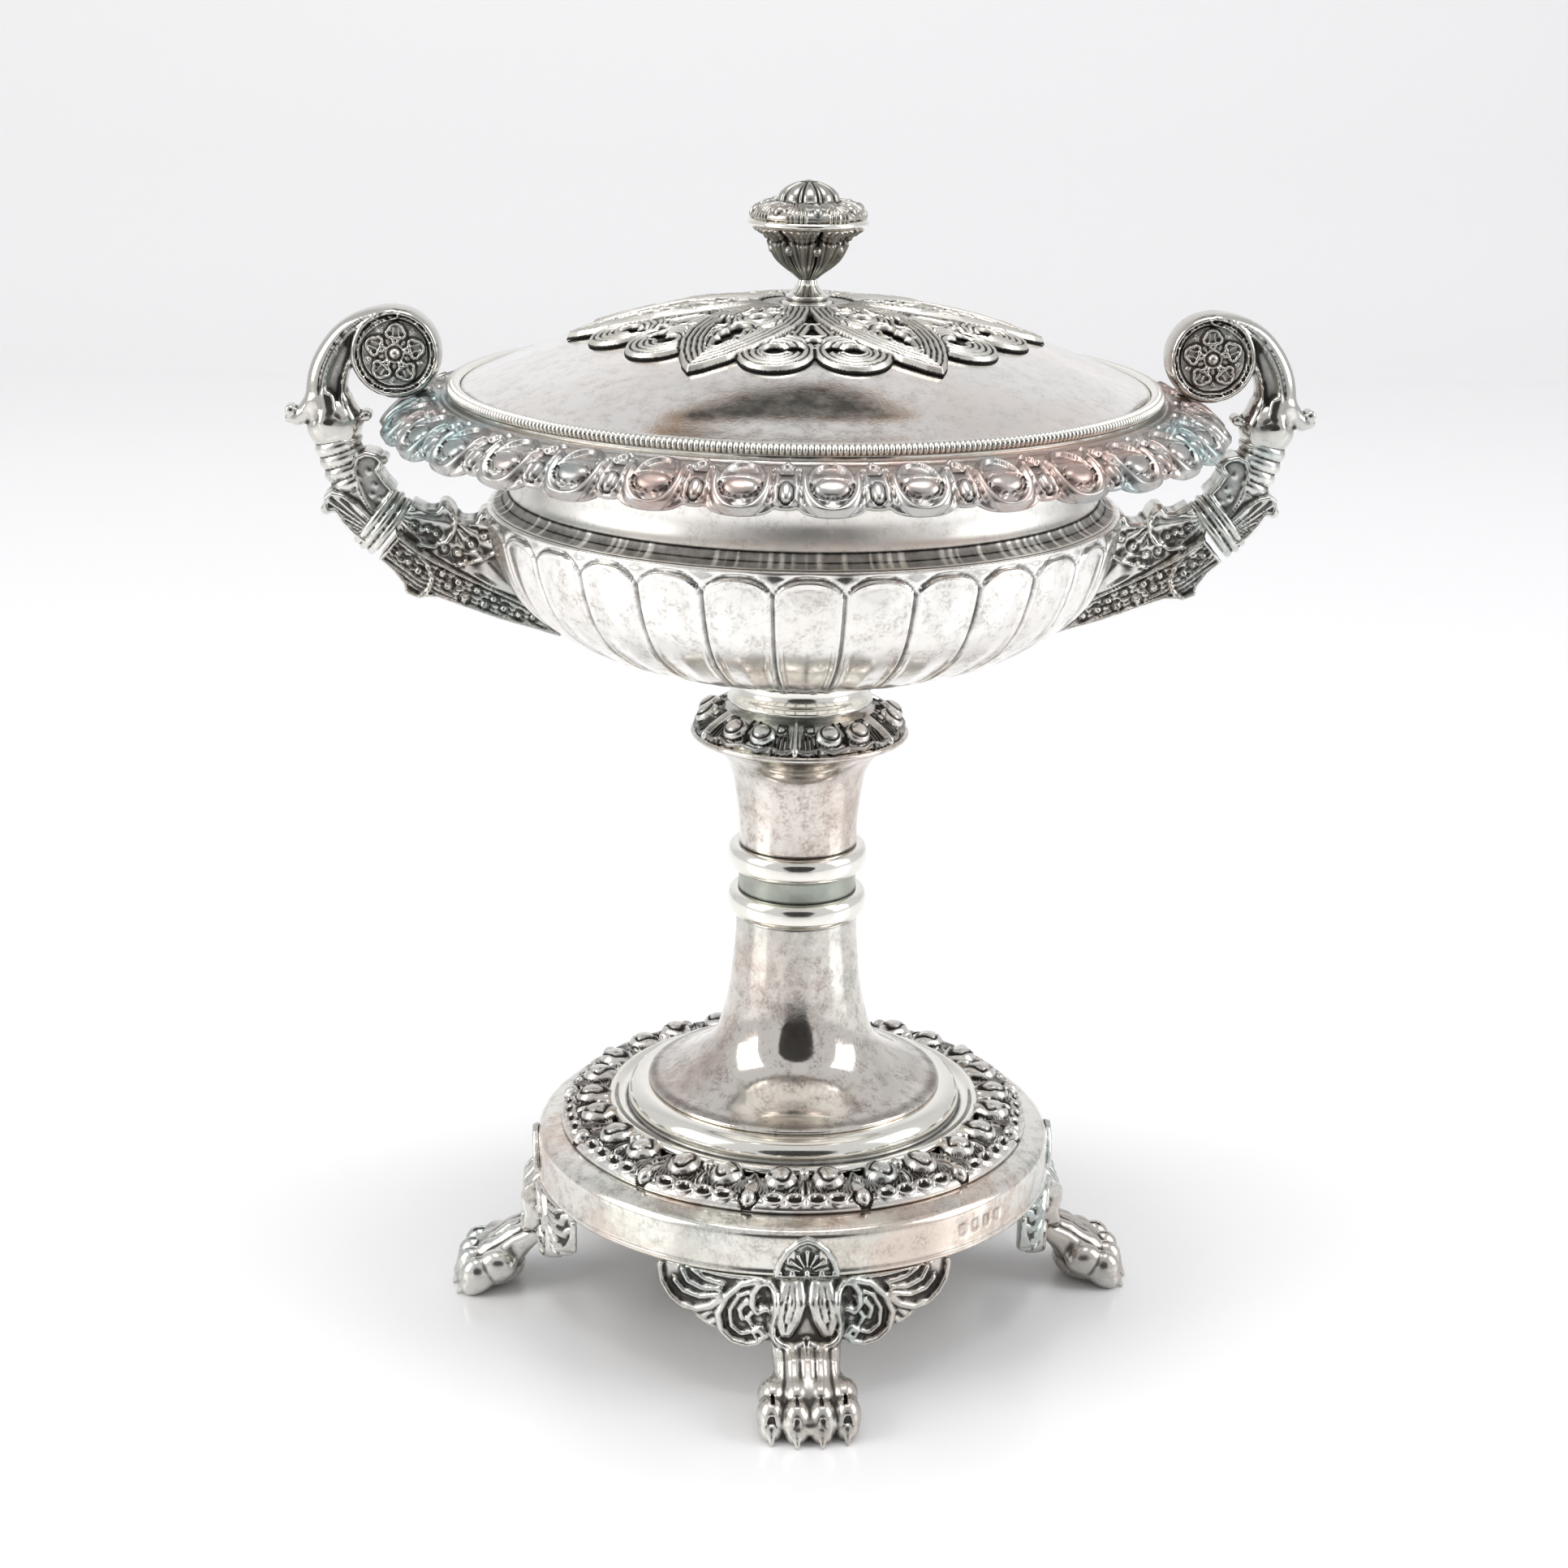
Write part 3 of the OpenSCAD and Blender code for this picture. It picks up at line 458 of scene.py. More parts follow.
def band_d(th, p, s):
    a = wrap(th, 13, FR); r, z = p[:, 0][None], p[:, 1][None]
    top = ((z > 43.6) & (z > 45.75 - (r - 40.4) * 0.2)).astype(float)
    x = a * 44.0 + 0 * r; ax = np.abs(x); y = r + 0 * x            # across, and out from the axis
    # the sunk ground between the motifs is painted near black, oxide together with painted shade; raised parts get low
    # values
    d = np.full(x.shape, -0.15); c = np.full(x.shape, 0.95)
    def put(h, cv):
        nonlocal d, c
        k = h > d; d = np.where(k, h, d); c = np.where(k, cv, c)
    # acanthus ribs from the outer bead, opening round it and curling up to the buds
    for k in range(4):
        dd, u = poly_d(ax, y, [(9.9 - 0.9 * k, 48.9 - 0.15 * k), (9.3 - 0.75 * k, 47.0), (9.0 - 0.25 * k, 45.0), (9.5 + 0.1 * k, 43.0), (10.5, 41.2)])
        put(0.95 * ridge(dd, 0.36) - 0.05, 0.25 + 0.65 * (1 - ridge(dd, 0.4)))
    for k in range(3):
        dd, u = poly_d(ax, y, [(1.3 + 1.3 * k, 48.4), (1.2 + 1.0 * k, 47.0), (1.0 + 0.5 * k, 45.4)])
        put(0.8 * ridge(dd, 0.4) - 0.05, 0.3 + 0.6 * (1 - ridge(dd, 0.4)))
    # scalloped leaf edge on the outer side
    for cx, w_ in ((2.0, 2.0), (5.9, 2.0)):
        q = ell(ax, y, cx, 48.7, w_, 1.35); put(0.85 * ridge(q + 0.25, 0.42), 0.12)
        put(np.where(q < -0.75, 0.25, -9), 0.8)
    # big bud wrapped in petals: a cup, a curled lip and a bead inside
    bx, by = 4.95, 43.5
    q = np.hypot((ax - bx), (y - by)); ang = np.arctan2(y - by, ax - bx)
    h = np.sqrt(np.clip(1 - (q / 3.7) ** 2, 0, None)) * 3.4
    h = h - 0.35 * ridge(q - 2.2 - 0.25 * np.cos(3 * ang + 0.6), 0.3)
    put(np.where(q < 3.7, h + 0.1, -9), np.clip(0.03 + 0.42 * ridge(q - 2.2 - 0.25 * np.cos(3 * ang + 0.6), 0.36) + 0.9 * sst(3.25, 3.7, q), 0, 1))
    for da_, rr in ((0.9, 1.05), (-1.9, 0.95)):
        cx, cy = bx + 1.15 * math.cos(da_), by + 1.15 * math.sin(da_)
        h = bump_ball(ax, y, cx, cy, rr, 0.8) + 2.35; put(np.where(h > 2.36, h, -9), 0.05)
    # small bead between the buds, short leaf under it
    h = bump_ball(ax, y, 0, 41.9, 1.15, 1.0) + 1.4; put(np.where(h > 1.42, h, -9), 0.08)
    q = ell(ax, y, 0, 45.3, 1.0, 2.4); put(1.35 * sst(0.1, -0.6, q) - 0.5 * ridge(ax, 0.2), 0.15 + 0.6 * ridge(ax, 0.3))
    d = np.where(y > 49.4, np.maximum(d, 0.3 * ridge(y - 50.0, 0.6)), d); c = np.where(y > 49.5, np.minimum(c, 0.35), c)
    # outer bead between the units, in a hollow
    hw = 44.0 * math.pi / 13; k = np.hypot((ax - hw) * 1.1, y - 48.7)
    c = np.where((k > 1.55) & (k < 2.1), 1.0, c); d = np.where((k > 1.5) & (k < 2.0), np.minimum(d, -0.1), d)
    put(np.where(k < 1.6, bump_ball((ax - hw) * 1.1, y, 0, 48.7, 1.6, 1.05) + 0.15, -9), 0.03)
    return d * top, sst(0.03, 0.5, c) * top
revolve("v_base_flower_band", prof, 1152, disp=band_d, soft=1, mat=M_CHASED, replaces=["base_flower_band"], slot="chased_silver")

prof = chain([(38.3, 44.3), (40.15, 44.3)], [(40.15, 44.3), (40.15, 47.0)], [(40.15, 47.0), (40.45, 47.5), (40.4, 48.3), (39.8, 48.85), (39.1, 48.75), (38.6, 48.2)],
             [(38.6, 48.2), (38.0, 47.65), (37.1, 47.45), (36.3, 47.6), (35.75, 48.1)], [(35.75, 48.1), (35.95, 48.7), (35.9, 49.6), (35.5, 50.6), (34.7, 51.5), (33.6, 52.05), (32.4, 52.2)],
             [(32.4, 52.2), (29.9, 52.2)], [(29.9, 52.2), (29.9, 51.1)], [(29.9, 51.1), (33.2, 50.6)], [(33.2, 50.6), (34.0, 49.4)], [(34.0, 49.4), (34.0, 47.4)],
             [(34.0, 47.4), (35.6, 46.1)], [(35.6, 46.1), (38.3, 44.3)], step=0.3)[:-1]
def mould_d(th, p, s):
    r, z = p[:, 0][None], p[:, 1][None]
    # painted shade: dark lines in the creases at r 36.2 and r 40.2
    c = (0.85 * np.exp(-((r - 36.2) / 0.5) ** 2) * (z > 47) * (z < 49) + 0.9 * np.exp(-((r - 40.2) / 0.25) ** 2) * (z < 47.3)) * np.ones_like(th)
    return 0.03 * np.sin(7 * th + 1) * np.ones_like(r), c
revolve("v_base_step_moulding", prof, 256, disp=mould_d, soft=1, mat=M_BRIGHT, replaces=["base_step_moulding"], slot="bright_silver")

# ----------------------------------------------------------------------------
# stem
# ----------------------------------------------------------------------------
prof = chain([(30.2, 52.2), (31.3, 52.2), (31.75, 52.6), (31.5, 53.1), (30.2, 53.5)],
             [(30.2, 53.5), (27, 54.55), (24.4, 56.0), (22, 57.6), (19.6, 59.6), (17.8, 61.6), (16.7, 63.6), (16.0, 65.6), (15.6, 66.9), (14.9, 69.6), (14.3, 72.9), (13.84, 75.9), (13.45, 80.4), (13.1, 85.1), (12.96, 89.0), (12.96, 90.9)],
             [(12.96, 90.9), (11.6, 90.9)], [(11.6, 90.9), (11.7, 85), (12.4, 75.7), (13.3, 69.9), (14.9, 63.2), (16.5, 60.6), (21.2, 56.3), (26.5, 53.2), (30.2, 52.2)], step=0.6)[:-1]
def stem_d(th, p, s):
    r, z = p[:, 0][None], p[:, 1][None]
    o = (r > 12.9)
    # painted shade: darker toward the top under the lower ring, and a dark line in the crease at z 53.45
    c = (0.8 * sst(0.9, 0.0, 90.9 - z) * (z > 88) + 0.5 * np.exp(-((z - 53.45) / 0.35) ** 2)) * o * np.ones_like(th)
    return o * (0.05 * np.sin(2 * th + z * 0.2) + 0.025 * np.sin(5 * th - z * 0.35)), c
revolve("v_stem_lower", prof, 256, disp=stem_d, soft=1, mat=M_STEM, replaces=["stem_lower"], slot="polished_silver")

def ring_prof(z):
    return chain([(11.3, z), (13.3, z)], [(13.3, z), (14.0, z + 0.25), (14.55, z + 0.95), (14.8, z + 2.0), (14.8, z + 3.2), (14.55, z + 4.3), (14.0, z + 5.05), (13.3, z + 5.3)],
                 [(13.3, z + 5.3), (11.3, z + 5.3)], [(11.3, z + 5.3), (11.3, z)], step=0.3)[:-1]
revolve("v_stem_ring_lower", ring_prof(90.9), 192, soft=1, mat=M_BRIGHT, replaces=["stem_ring_lower"], slot="bright_silver")
revolve("v_stem_ring_upper", ring_prof(100.9), 192, soft=1, mat=M_BRIGHT, replaces=["stem_ring_upper"], slot="bright_silver")
def mid_d(th, p, s):
    # painted shade: darker at both ends, next to the rings
    z = p[:, 1][None]; return 0 * (th + z), 0.85 * (sst(0.8, 0.0, z - 96.2) + sst(0.8, 0.0, 100.9 - z)) + 0 * th
revolve("v_stem_mid_band", chain([(11.3, 96.2), (12.6, 96.2)], [(12.6, 96.2), (12.45, 98.5), (12.6, 100.9)], [(12.6, 100.9), (11.3, 100.9)], [(11.3, 100.9), (11.3, 96.2)], step=0.3)[:-1],
        192, disp=mid_d, soft=0, mat=M_BAND, replaces=["stem_mid_band"], slot="polished_silver")
prof = chain([(11.3, 106.2), (12.5, 106.2)], [(12.5, 106.2), (12.49, 108.9), (12.72, 112.6), (13.13, 116.2), (13.62, 119.8), (14.2, 122.4), (15.6, 125.2), (18.2, 127.9), (21.6, 129.8)],
             [(21.6, 129.8), (22.4, 129.95), (22.85, 130.4), (22.85, 130.95), (22.4, 131.35), (21.9, 131.4)], [(21.9, 131.4), (11.3, 131.4)], [(11.3, 131.4), (11.3, 106.2)], step=0.5)[:-1]
def stem2_d(th, p, s):
    r, z = p[:, 0][None], p[:, 1][None]; o = r > 12.3
    # painted shade: darker just above the ring at z 106.2, and a dark line in the crease at z 129.8
    return o * 0.04 * np.sin(3 * th + z * 0.25), (0.8 * sst(0.9, 0.0, z - 106.2) + 0.6 * np.exp(-((z - 129.8) / 0.22) ** 2)) * o * (z < 131) + 0 * th
revolve("v_stem_upper", prof, 256, disp=stem2_d, soft=1, mat=M_STEM, replaces=["stem_upper"], slot="polished_silver")

# collar of buds and acanthus under the bowl, one unit every 60 degrees
prof = chain([(11.3, 131.4), (21.5, 131.4)], [(21.5, 131.4), (21.7, 131.9), (21.1, 132.6), (19.4, 133.9), (17.4, 135.1), (15.6, 136.0), (14.4, 136.5), (13.6, 137.45)], [(13.6, 137.45), (11.3, 137.45)], [(11.3, 137.45), (11.3, 131.4)], step=0.2)[:-1]
def collar_d(th, p, s):
    a = wrap(th, 6, math.radians(-95.8)); r, z = p[:, 0][None], p[:, 1][None]
    top = ((r > 13.7) & (z > 131.5)).astype(float)
    i0 = np.argmin(np.hypot(p[:, 0] - 21.5, p[:, 1] - 131.4)); y = (s - s[i0])[None] + 0 * a   # from the lower edge inward
    x = a * 18.3 + 0 * r; ax = np.abs(x)
    # the sunk ground between leaves and buds is painted near black, oxide together with painted shade, and each bud
    # gets a darker ring inside and a dark edge
    d = np.zeros(x.shape) - 0.15; c = np.full(x.shape, 0.95)
    def put(h, cv):
        nonlocal d, c
        k = h > d; d = np.where(k, h, d); c = np.where(k, cv, c)
    for k in range(4):                                           # leaf ribs between the buds
        dd, u = poly_d(ax, y, [(1.3 + 0.95 * k, 0.4), (1.5 + 0.8 * k, 3.6), (2.2 + 0.55 * k, 7.4)])
        put(0.85 * ridge(dd, 0.36) - 0.1, 0.3 + 0.6 * (1 - ridge(dd, 0.4)))
    dd, u = poly_d(ax, y, [(0, 0.6), (0, 7.6)]); put(1.25 * ridge(dd, 0.55), 0.15)
    dd, u = poly_d(ax, y, [(0.2, 1.0), (2.3, 0.55), (4.4, 1.3), (6.6, 0.6), (9.5, 1.1)]); put(0.8 * ridge(dd, 0.4), 0.25)
    for k in range(3):
        dd, u = poly_d(ax, y, [(9.6, 1.2 + 0.8 * k), (8.9 - 0.3 * k, 4.3 + 0.5 * k), (8.7, 7.6)]); put(0.8 * ridge(dd, 0.35) - 0.1, 0.35 + 0.6 * (1 - ridge(dd, 0.4)))
    for cx, cy, rad in ((6.5, 4.0, 2.75), (3.0, 5.6, 1.35)):
        q = np.hypot(ax - cx, y - cy)
        h = np.sqrt(np.clip(1 - (q / rad) ** 2, 0, None)) * rad * 0.95 - 0.22 * ridge(q - rad * 0.62, 0.25)
        put(np.where(q < rad, h, -9), np.clip(0.03 + 0.35 * ridge(q - rad * 0.62, 0.3) + sst(rad * 0.9, rad, q), 0, 1))
    return d * top, sst(0.02, 0.46, c) * top
revolve("v_stem_flower_collar", prof, 560, disp=collar_d, soft=1, mat=M_CHASED, replaces=["stem_flower_collar"], slot="chased_silver")
revolve("v_bowl_foot_ring", chain([(11.3, 137.5), (14.8, 137.5)], [(14.8, 137.5), (15.2, 137.75), (15.2, 138.2), (14.7, 138.8), (13.6, 139.6), (13.1, 140.8), (13.2, 142.2), (13.7, 143.1), (14.3, 143.55)], [(14.3, 143.55), (11.3, 143.55)], [(11.3, 143.55), (11.3, 137.5)], step=0.2)[:-1],
        192, soft=1, mat=M_BRIGHT, replaces=["bowl_foot_ring"], slot="bright_silver")

# ----------------------------------------------------------------------------
# bowl with thirty lobes
# ----------------------------------------------------------------------------
outer = chain([(0, 143.65), (14.5, 143.65)], [(14.5, 143.65), (20, 144.95), (27, 146.7), (33, 148.3), (40, 150.4), (46.5, 152.8), (52, 156.0), (56.5, 159.4), (60.3, 164.0), (62.8, 169.4), (64.2, 174.5), (64.6, 177.2), (64.35, 178.6)],
              [(64.35, 178.6), (64.5, 179.0), (64.2, 179.4), (63.6, 179.5)], step=0.44)
inner = chain([(63.6, 179.5), (62.6, 179.3)], [(62.6, 179.3), (63.1, 177.0), (62.8, 174.7), (61.5, 169.95), (59.1, 164.8), (55.5, 160.5), (51.2, 157.2), (45.9, 154.1), (39.5, 151.75), (32.6, 149.65), (26.6, 148.05), (19.6, 146.25), (14, 145.0), (0, 144.85)], step=2.0)
prof = np.vstack([outer, inner[1:]]); n_out = len(outer)
s_lip = np.cumsum(np.r_[0, np.linalg.norm(np.diff(outer, axis=0), axis=1)])
S_APEX = float(np.interp(178.25, outer[:, 1], s_lip))
def lobe_d(th, p, s):
    r = p[:, 0][None]; j = np.arange(len(p))[None]
    out = (j < n_out) & (r > 14.6)
    a = wrap(th, 30, math.radians(3.7)); hw = np.pi * r / 30; x = np.abs(a) * r
    u = np.clip(x / hw, 0, 1)
    arch = 4.9 * (1 - (1 - u ** 2.15) ** (1 / 2.15))
    k = np.clip(hw / 5.2, 0.18, 1.0)
    ds = (hw - x) / k; dt = (S_APEX - arch - s[None]) * 0.92
    e = np.minimum(ds, dt); m = np.clip(0.5 + 0.5 * (ds - dt) / 0.9, 0, 1); e = ds * (1 - m) + dt * m - 0.9 * m * (1 - m) * 0.5
    spand = s[None] > S_APEX - arch
    d = -0.62 * (1 - sst(0.05, 0.5, e)) + 0.26 * ridge(e - 0.9, 0.5) + 0.46 * sst(1.5, 6.5, e) * sst(0.15, 1, k)
    d = d - 0.10 * ridge(e - 1.75, 0.22)
    d = np.where(spand, -0.12 - 0.5 * ridge(dt + 0.0, 0.42) + 0.14 * sst(0.5, 2.0, -dt), d)
    d = d * np.clip(k * 1.25, 0.25, 1.0)
    d = d - 0.25 * (e > 2.4) * 0
    lipm = sst(178.35, 178.75, p[:, 1])[None]
    d = d * (1 - lipm)
    # the grooves between the lobes and the arch lines over them are painted dark, oxide together with painted shade
    c = 0.80 * (1 - sst(0.10, 0.55, e)) + 0.16 * ridge(e - 1.75, 0.35) + 0.10 * sst(1.8, 2.4, e)
    c = np.where(spand, 0.12 + 0.62 * ridge(dt, 0.4) * sst(0.15, 0.5, u), c) * (1 - lipm)
    return d * out, c * out
revolve("v_bowl_body", prof, 840, closed=False, disp=lobe_d, soft=1, mat=M_BOWL, replaces=["bowl_body"], slot="polished_silver")

prof = chain([(62.9, 179.45), (63.7, 179.55)], [(63.7, 179.55), (62.6, 179.85), (61.4, 180.5), (60.5, 181.5), (60.3, 182.1)], [(60.3, 182.1), (59.9, 182.35), (59.3, 183.2), (58.75, 184.8), (58.45, 187), (58.85, 189.6), (60.4, 192), (63.2, 194.3), (67.2, 196.5), (70.6, 197.9)],
             [(70.6, 197.9), (70.6, 199.2)], [(70.6, 199.2), (66.7, 197.7), (62.5, 195.4), (59.5, 192.7), (57.75, 189.9), (57.2, 187), (57.8, 184.1), (59.5, 181.6), (61.6, 180.1), (62.9, 179.45)], step=0.35)[:-1]
def neck_d(th, p, s):
    r, z = p[:, 0][None], p[:, 1][None]
    cove = sst(179.6, 179.8, z) * sst(182.25, 182.1, z)
    # painted shade and painted reflection: the cove under the rim is darkened and broken by lighter vertical streaks
    # standing in for the rim's eggs reflected there (the streaks are also a faint relief), with dark lines in the
    # creases at z 182.15 and 180.55
    st = np.sin(113 * th + 2.1 * np.sin(17 * th)) * np.sin(71 * th + 1.3 * np.sin(23 * th + 1)); w_ = sst(0.25, 0.7, st)
    c = cove * (0.60 - 0.42 * w_) + 0.85 * np.exp(-((z - 182.15) / 0.2) ** 2) + 0.35 * np.exp(-((z - 180.55) / 0.12) ** 2)
    return cove * 0.10 * (w_ - 0.4), np.clip(c, 0, 0.95)
revolve("v_bowl_neck", prof, 900, disp=neck_d, soft=1, mat=M_NECK, replaces=["bowl_neck"], slot="polished_silver")

# ----------------------------------------------------------------------------
# rim border: thirty-two eggs, each in a hood, with tongues between
# ----------------------------------------------------------------------------
top = catmull([(72.3, 201.35), (75.4, 201.3), (78.3, 200.4), (81.0, 198.9), (83.4, 196.9), (85.3, 194.6), (86.25, 192.4)], 0.2)
tl = np.r_[0, np.cumsum(np.linalg.norm(np.diff(top, axis=0), axis=1))]
NR = 32 * 50; NS = 64; NU = 26
th = np.linspace(0, 2 * np.pi, NR, endpoint=False)[:, None]
x = wrap(th, 32, FR) * 82.0; ax = np.abs(x)
s_end = np.where(ax < 5.9, 13.35 + 2.35 * np.sqrt(np.clip(1 - (ax / 5.9) ** 2, 0, 1)), 13.75 + 0.25 * ridge(ax - 8.05, 1.6))
def rim_curve(s):
    s = np.clip(s, 0, tl[-1])
    r = np.interp(s, tl, top[:, 0]); z = np.interp(s, tl, top[:, 1])
    e_ = 0.4; r2 = np.interp(s + e_, tl, top[:, 0]); z2 = np.interp(s + e_, tl, top[:, 1]); r1 = np.interp(s - e_, tl, top[:, 0]); z1 = np.interp(s - e_, tl, top[:, 1])
    tr, tz = r2 - r1, z2 - z1; q = np.hypot(tr, tz); return r, z, -tz / q, tr / q
def rim_relief(x, s):
    ax = np.abs(x)
    # the sunk ground round the eggs, hoods and tongues is painted near black, oxide together with painted shade
    d = np.full(x.shape, -0.6); c = np.full(x.shape, 0.95)
    def put(h, cv):
        nonlocal d, c
        k = h > d; d = np.where(k, h, d); c = np.where(k, cv, c)
    put(0.5 * ridge(s - 0.5, 0.7), 0.15)
    put(np.where(s > s_end - 0.9, -0.25, -9), 0.6)
    # hollow hood over the egg
    hood = np.where(s < 9.0, ell(ax, s, 0, 9.0, 3.75, 5.5), ax - 3.75 + 0.12 * (s - 9))
    put(np.where((hood < 0) & (s < 13.0), -0.35 + 1.0 * sst(4.0, 8.6, s) - 0.1 * ridge(x, 3), -9), np.clip(0.62 - 0.45 * sst(4.2, 7.5, s), 0, 1))
    put(np.where(s < 12.6, 0.95 * ridge(hood - 0.1, 0.42), -9), 0.1 + 0.5 * (1 - ridge(hood - 0.1, 0.45)))
    h2 = np.where(s < 9.0, ell(ax, s, 0, 9.0, 4.4, 6.6), ax - 4.4); put(np.where(s < 9.5, 0.55 * ridge(h2, 0.34), -9), 0.3)
    # the egg
    q = ell(x, s, 0, 10.1, 3.3, 2.3)
    g = (np.abs(q) < 0.32); d = np.where(g, np.minimum(d, -0.3), d); c = np.where(g, 0.95, c)
    put(np.where(q < -0.05, np.sqrt(np.clip(-q / 2.0, 0, 1) * (2 - np.clip(-q / 2.0, 0, 1))) * 1.2 + 0.15, -9), 0.02 + 0.6 * sst(-0.35, -0.05, q))
    # broad U-shaped collar, tapering up to two points
    q = np.where(s > 9.2, ell(ax, s, 0, 9.2, 4.75, 5.95), ax - 4.75 - 0.05 * (9.2 - s))
    w_ = np.where(s > 8.3, 0.75 + 0.45 * sst(10.0, 15, s), np.clip(0.75 - (8.3 - s) * 0.22, 0.02, 1))
    put(np.where(s > 5.2, 1.45 * ridge(q, w_) - 0.12, -9), 0.02 + 0.55 * (1 - ridge(q, w_)))
    inside = (q < -w_) & (s > 9.2) & (ell(x, s, 0, 10.1, 3.3, 2.3) > 0.3)
    d = np.where(inside, np.maximum(d, -0.1), d); c = np.where(inside, np.clip(0.25 + 0.4 * sst(2.0, 3.4, ax), 0, 1), c)
    # trefoil hollow under the egg
    for cx, cy, rr in ((0, 12.75, 0.75), (0.75, 13.5, 0.62)):
        m = np.hypot(ax - cx, s - cy) < rr; d = np.where(m, -0.7, d); c = np.where(m, 1.0, c)
    # dart and tongue between the hoods
    q = np.where(s < 7.5, ell(ax, s, 5.75, 7.5, 0.75, 2.3), np.abs(ax - 5.75 - 0.03 * (s - 7.5)) - 0.75 + 0.25 * (s - 7.5)); put(0.8 * ridge(q, 0.3), 0.2)
    xt = 8.05 - ax
    q = np.where(s < 7.0, ell(xt, s, 0, 7.0, 1.75, 3.3), np.abs(xt) - 1.75); put(np.where(s < 12.8, 0.85 * ridge(q, 0.34), -9), 0.15 + 0.4 * (1 - ridge(q, 0.36)))
    put(np.where((q < -0.3) & (s < 12.8), -0.3 + 0.8 * sst(4.2, 8.8, s), -9), np.clip(0.75 - 0.45 * sst(4.5, 8.5, s), 0, 1))
    q = ell(xt, s, 0, 11.0, 1.3, 2.15); g = (np.abs(q) < 0.25); d = np.where(g, np.minimum(d, -0.2), d); c = np.where(g, 0.9, c)
    put(np.where(q < -0.05, 0.1 + 1.15 * np.sqrt(np.clip(-q / 1.3, 0, 1) * (2 - np.clip(-q / 1.3, 0, 1))), -9), 0.03)
    q = np.hypot(np.abs(xt) - 1.45, s - 13.2); put(np.where(q < 0.62, 0.8 * np.sqrt(np.clip(1 - (q / 0.62) ** 2, 0, 1)), -9), 0.05)
    q = np.hypot(xt, s - 2.3); put(np.where(q < 0.8, np.sqrt(np.clip(1 - (q / 0.8) ** 2, 0, 1)) * 0.8 - 0.1, -9), 0.1)
    return d, c
t_ = np.linspace(0, 1, NS)[None]; s = s_end * t_
d, c = rim_relief(x + 0 * s, s)
r, z, nr, nz = rim_curve(s)
edge = sst(0.0, 1.0, s_end - s)
d = d * edge - 0.25 - 0.35 * (1 - edge)
Pt = np.stack([r + nr * d, z + nz * d], -1)
tu = np.linspace(0, 1, NU)[None]; su = s_end * tu
r, z, nr, nz = rim_curve(su)
thk = 1.5 * np.ones_like(su) + 1.0 * sst(0.35, 0.0, tu); thk = thk * np.sqrt(np.clip(1 - ((su - s_end + 1.3) / 1.35).clip(0, 1) ** 2, 0.18, 1))
du = -0.8 - thk + 0.35 * bump_ball(x + 0 * su, su, 0, 11.2, 3.4, 0.25) * -1
Pu = np.stack([r + nr * du, z + nz * du], -1)
# seat on the neck's flange at the inner side
inn = np.broadcast_to(np.array([[70.4, 198.1], [68.4, 199.6], [68.3, 200.3], [68.4, 200.95], [69.4, 201.1], [70.8, 201.1]])[None], (NR, 6, 2))
P = np.concatenate([inn[:, :1], Pu, Pt[:, ::-1], inn[:, 5:0:-1]], 1)
# painted shade: the underside of the border and its seat on the neck flange are a little darker
cu = np.full((NR, NU), 0.15); ca = np.concatenate([np.full((NR, 1), 0.3), cu, c[:, ::-1], np.full((NR, 5), 0.1)], 1)
V = np.stack([np.cos(th) * P[..., 0], np.sin(th) * P[..., 0], P[..., 1]], -1)
add_mesh("v_rim_border", V.reshape(-1, 3), grid_faces(NR, P.shape[1]), cav=sst(0.06, 0.66, ca.ravel()), mat=M_RIM, replaces=["rim_border"], slot="chased_silver")

# ----------------------------------------------------------------------------
# lid
# ----------------------------------------------------------------------------
prof = chain([(1.25, 217.85), (16, 217.4), (34.7, 214.5), (47.8, 210.7), (60.9, 206.1), (69.4, 202.5)], [(69.4, 202.5), (69.5, 203.6)],
             [(69.5, 203.6), (66, 205.05), (60.9, 207.2), (54.3, 209.65), (47.8, 211.85), (42, 213.6), (34.7, 215.6), (26, 217.3), (16, 218.5), (6, 218.98), (1.25, 219.0)], [(1.25, 219.0), (1.25, 217.85)], step=0.8)[:-1]
def dome_d(th, p, s):
    r, z = p[:, 0][None], p[:, 1][None]
    # painted shadow: the dome is darkened inside r 38 to 44, where the openwork lies on it, so the piercings show
    # shade, and toward its edge under the bead edge
    return 0.06 * np.sin(3 * th + r * 0.05) * sst(60, 30, r) + 0.03 * np.sin(9 * th + r * 0.2), (0.5 * sst(68.2, 69.4, r) + 0.92 * sst(44.0, 38.0, r)) * (z > 203.5) + 0 * th
revolve("v_lid_dome", prof, 360, disp=dome_d, soft=1, mat=M_LID, replaces=["lid_dome"], slot="polished_silver", body="lid")
prof = chain([(69.4, 201.15), (71.3, 201.15)], [(71.3, 201.15), (71.45, 201.6), (71.4, 202.3)], [(71.4, 202.3), (71.85, 202.65), (72.05, 203.1), (72.05, 203.6), (71.7, 204.15), (71.15, 204.4), (70.4, 204.45), (69.8, 204.2), (69.4, 203.8)], [(69.4, 203.8), (69.4, 201.15)], step=0.2)[:-1]
def bead_d(th, p, s):
    a = wrap(th, 432, FR) * 71.4; r, z = p[:, 0][None], p[:, 1][None]
    q = np.clip(1 - (np.abs(a) / 0.5) ** 2.2, 0, 1) ** 0.5
    m = sst(70.5, 71.1, r) * sst(202.35, 202.6, z)
    # painted shade: dark between the beads and along the crease under them at z 202.3
    return (0.5 * q - 0.38) * m, (1 - q) * m * 0.9 + 0.7 * np.exp(-((z - 202.3) / 0.15) ** 2) * (r > 71)
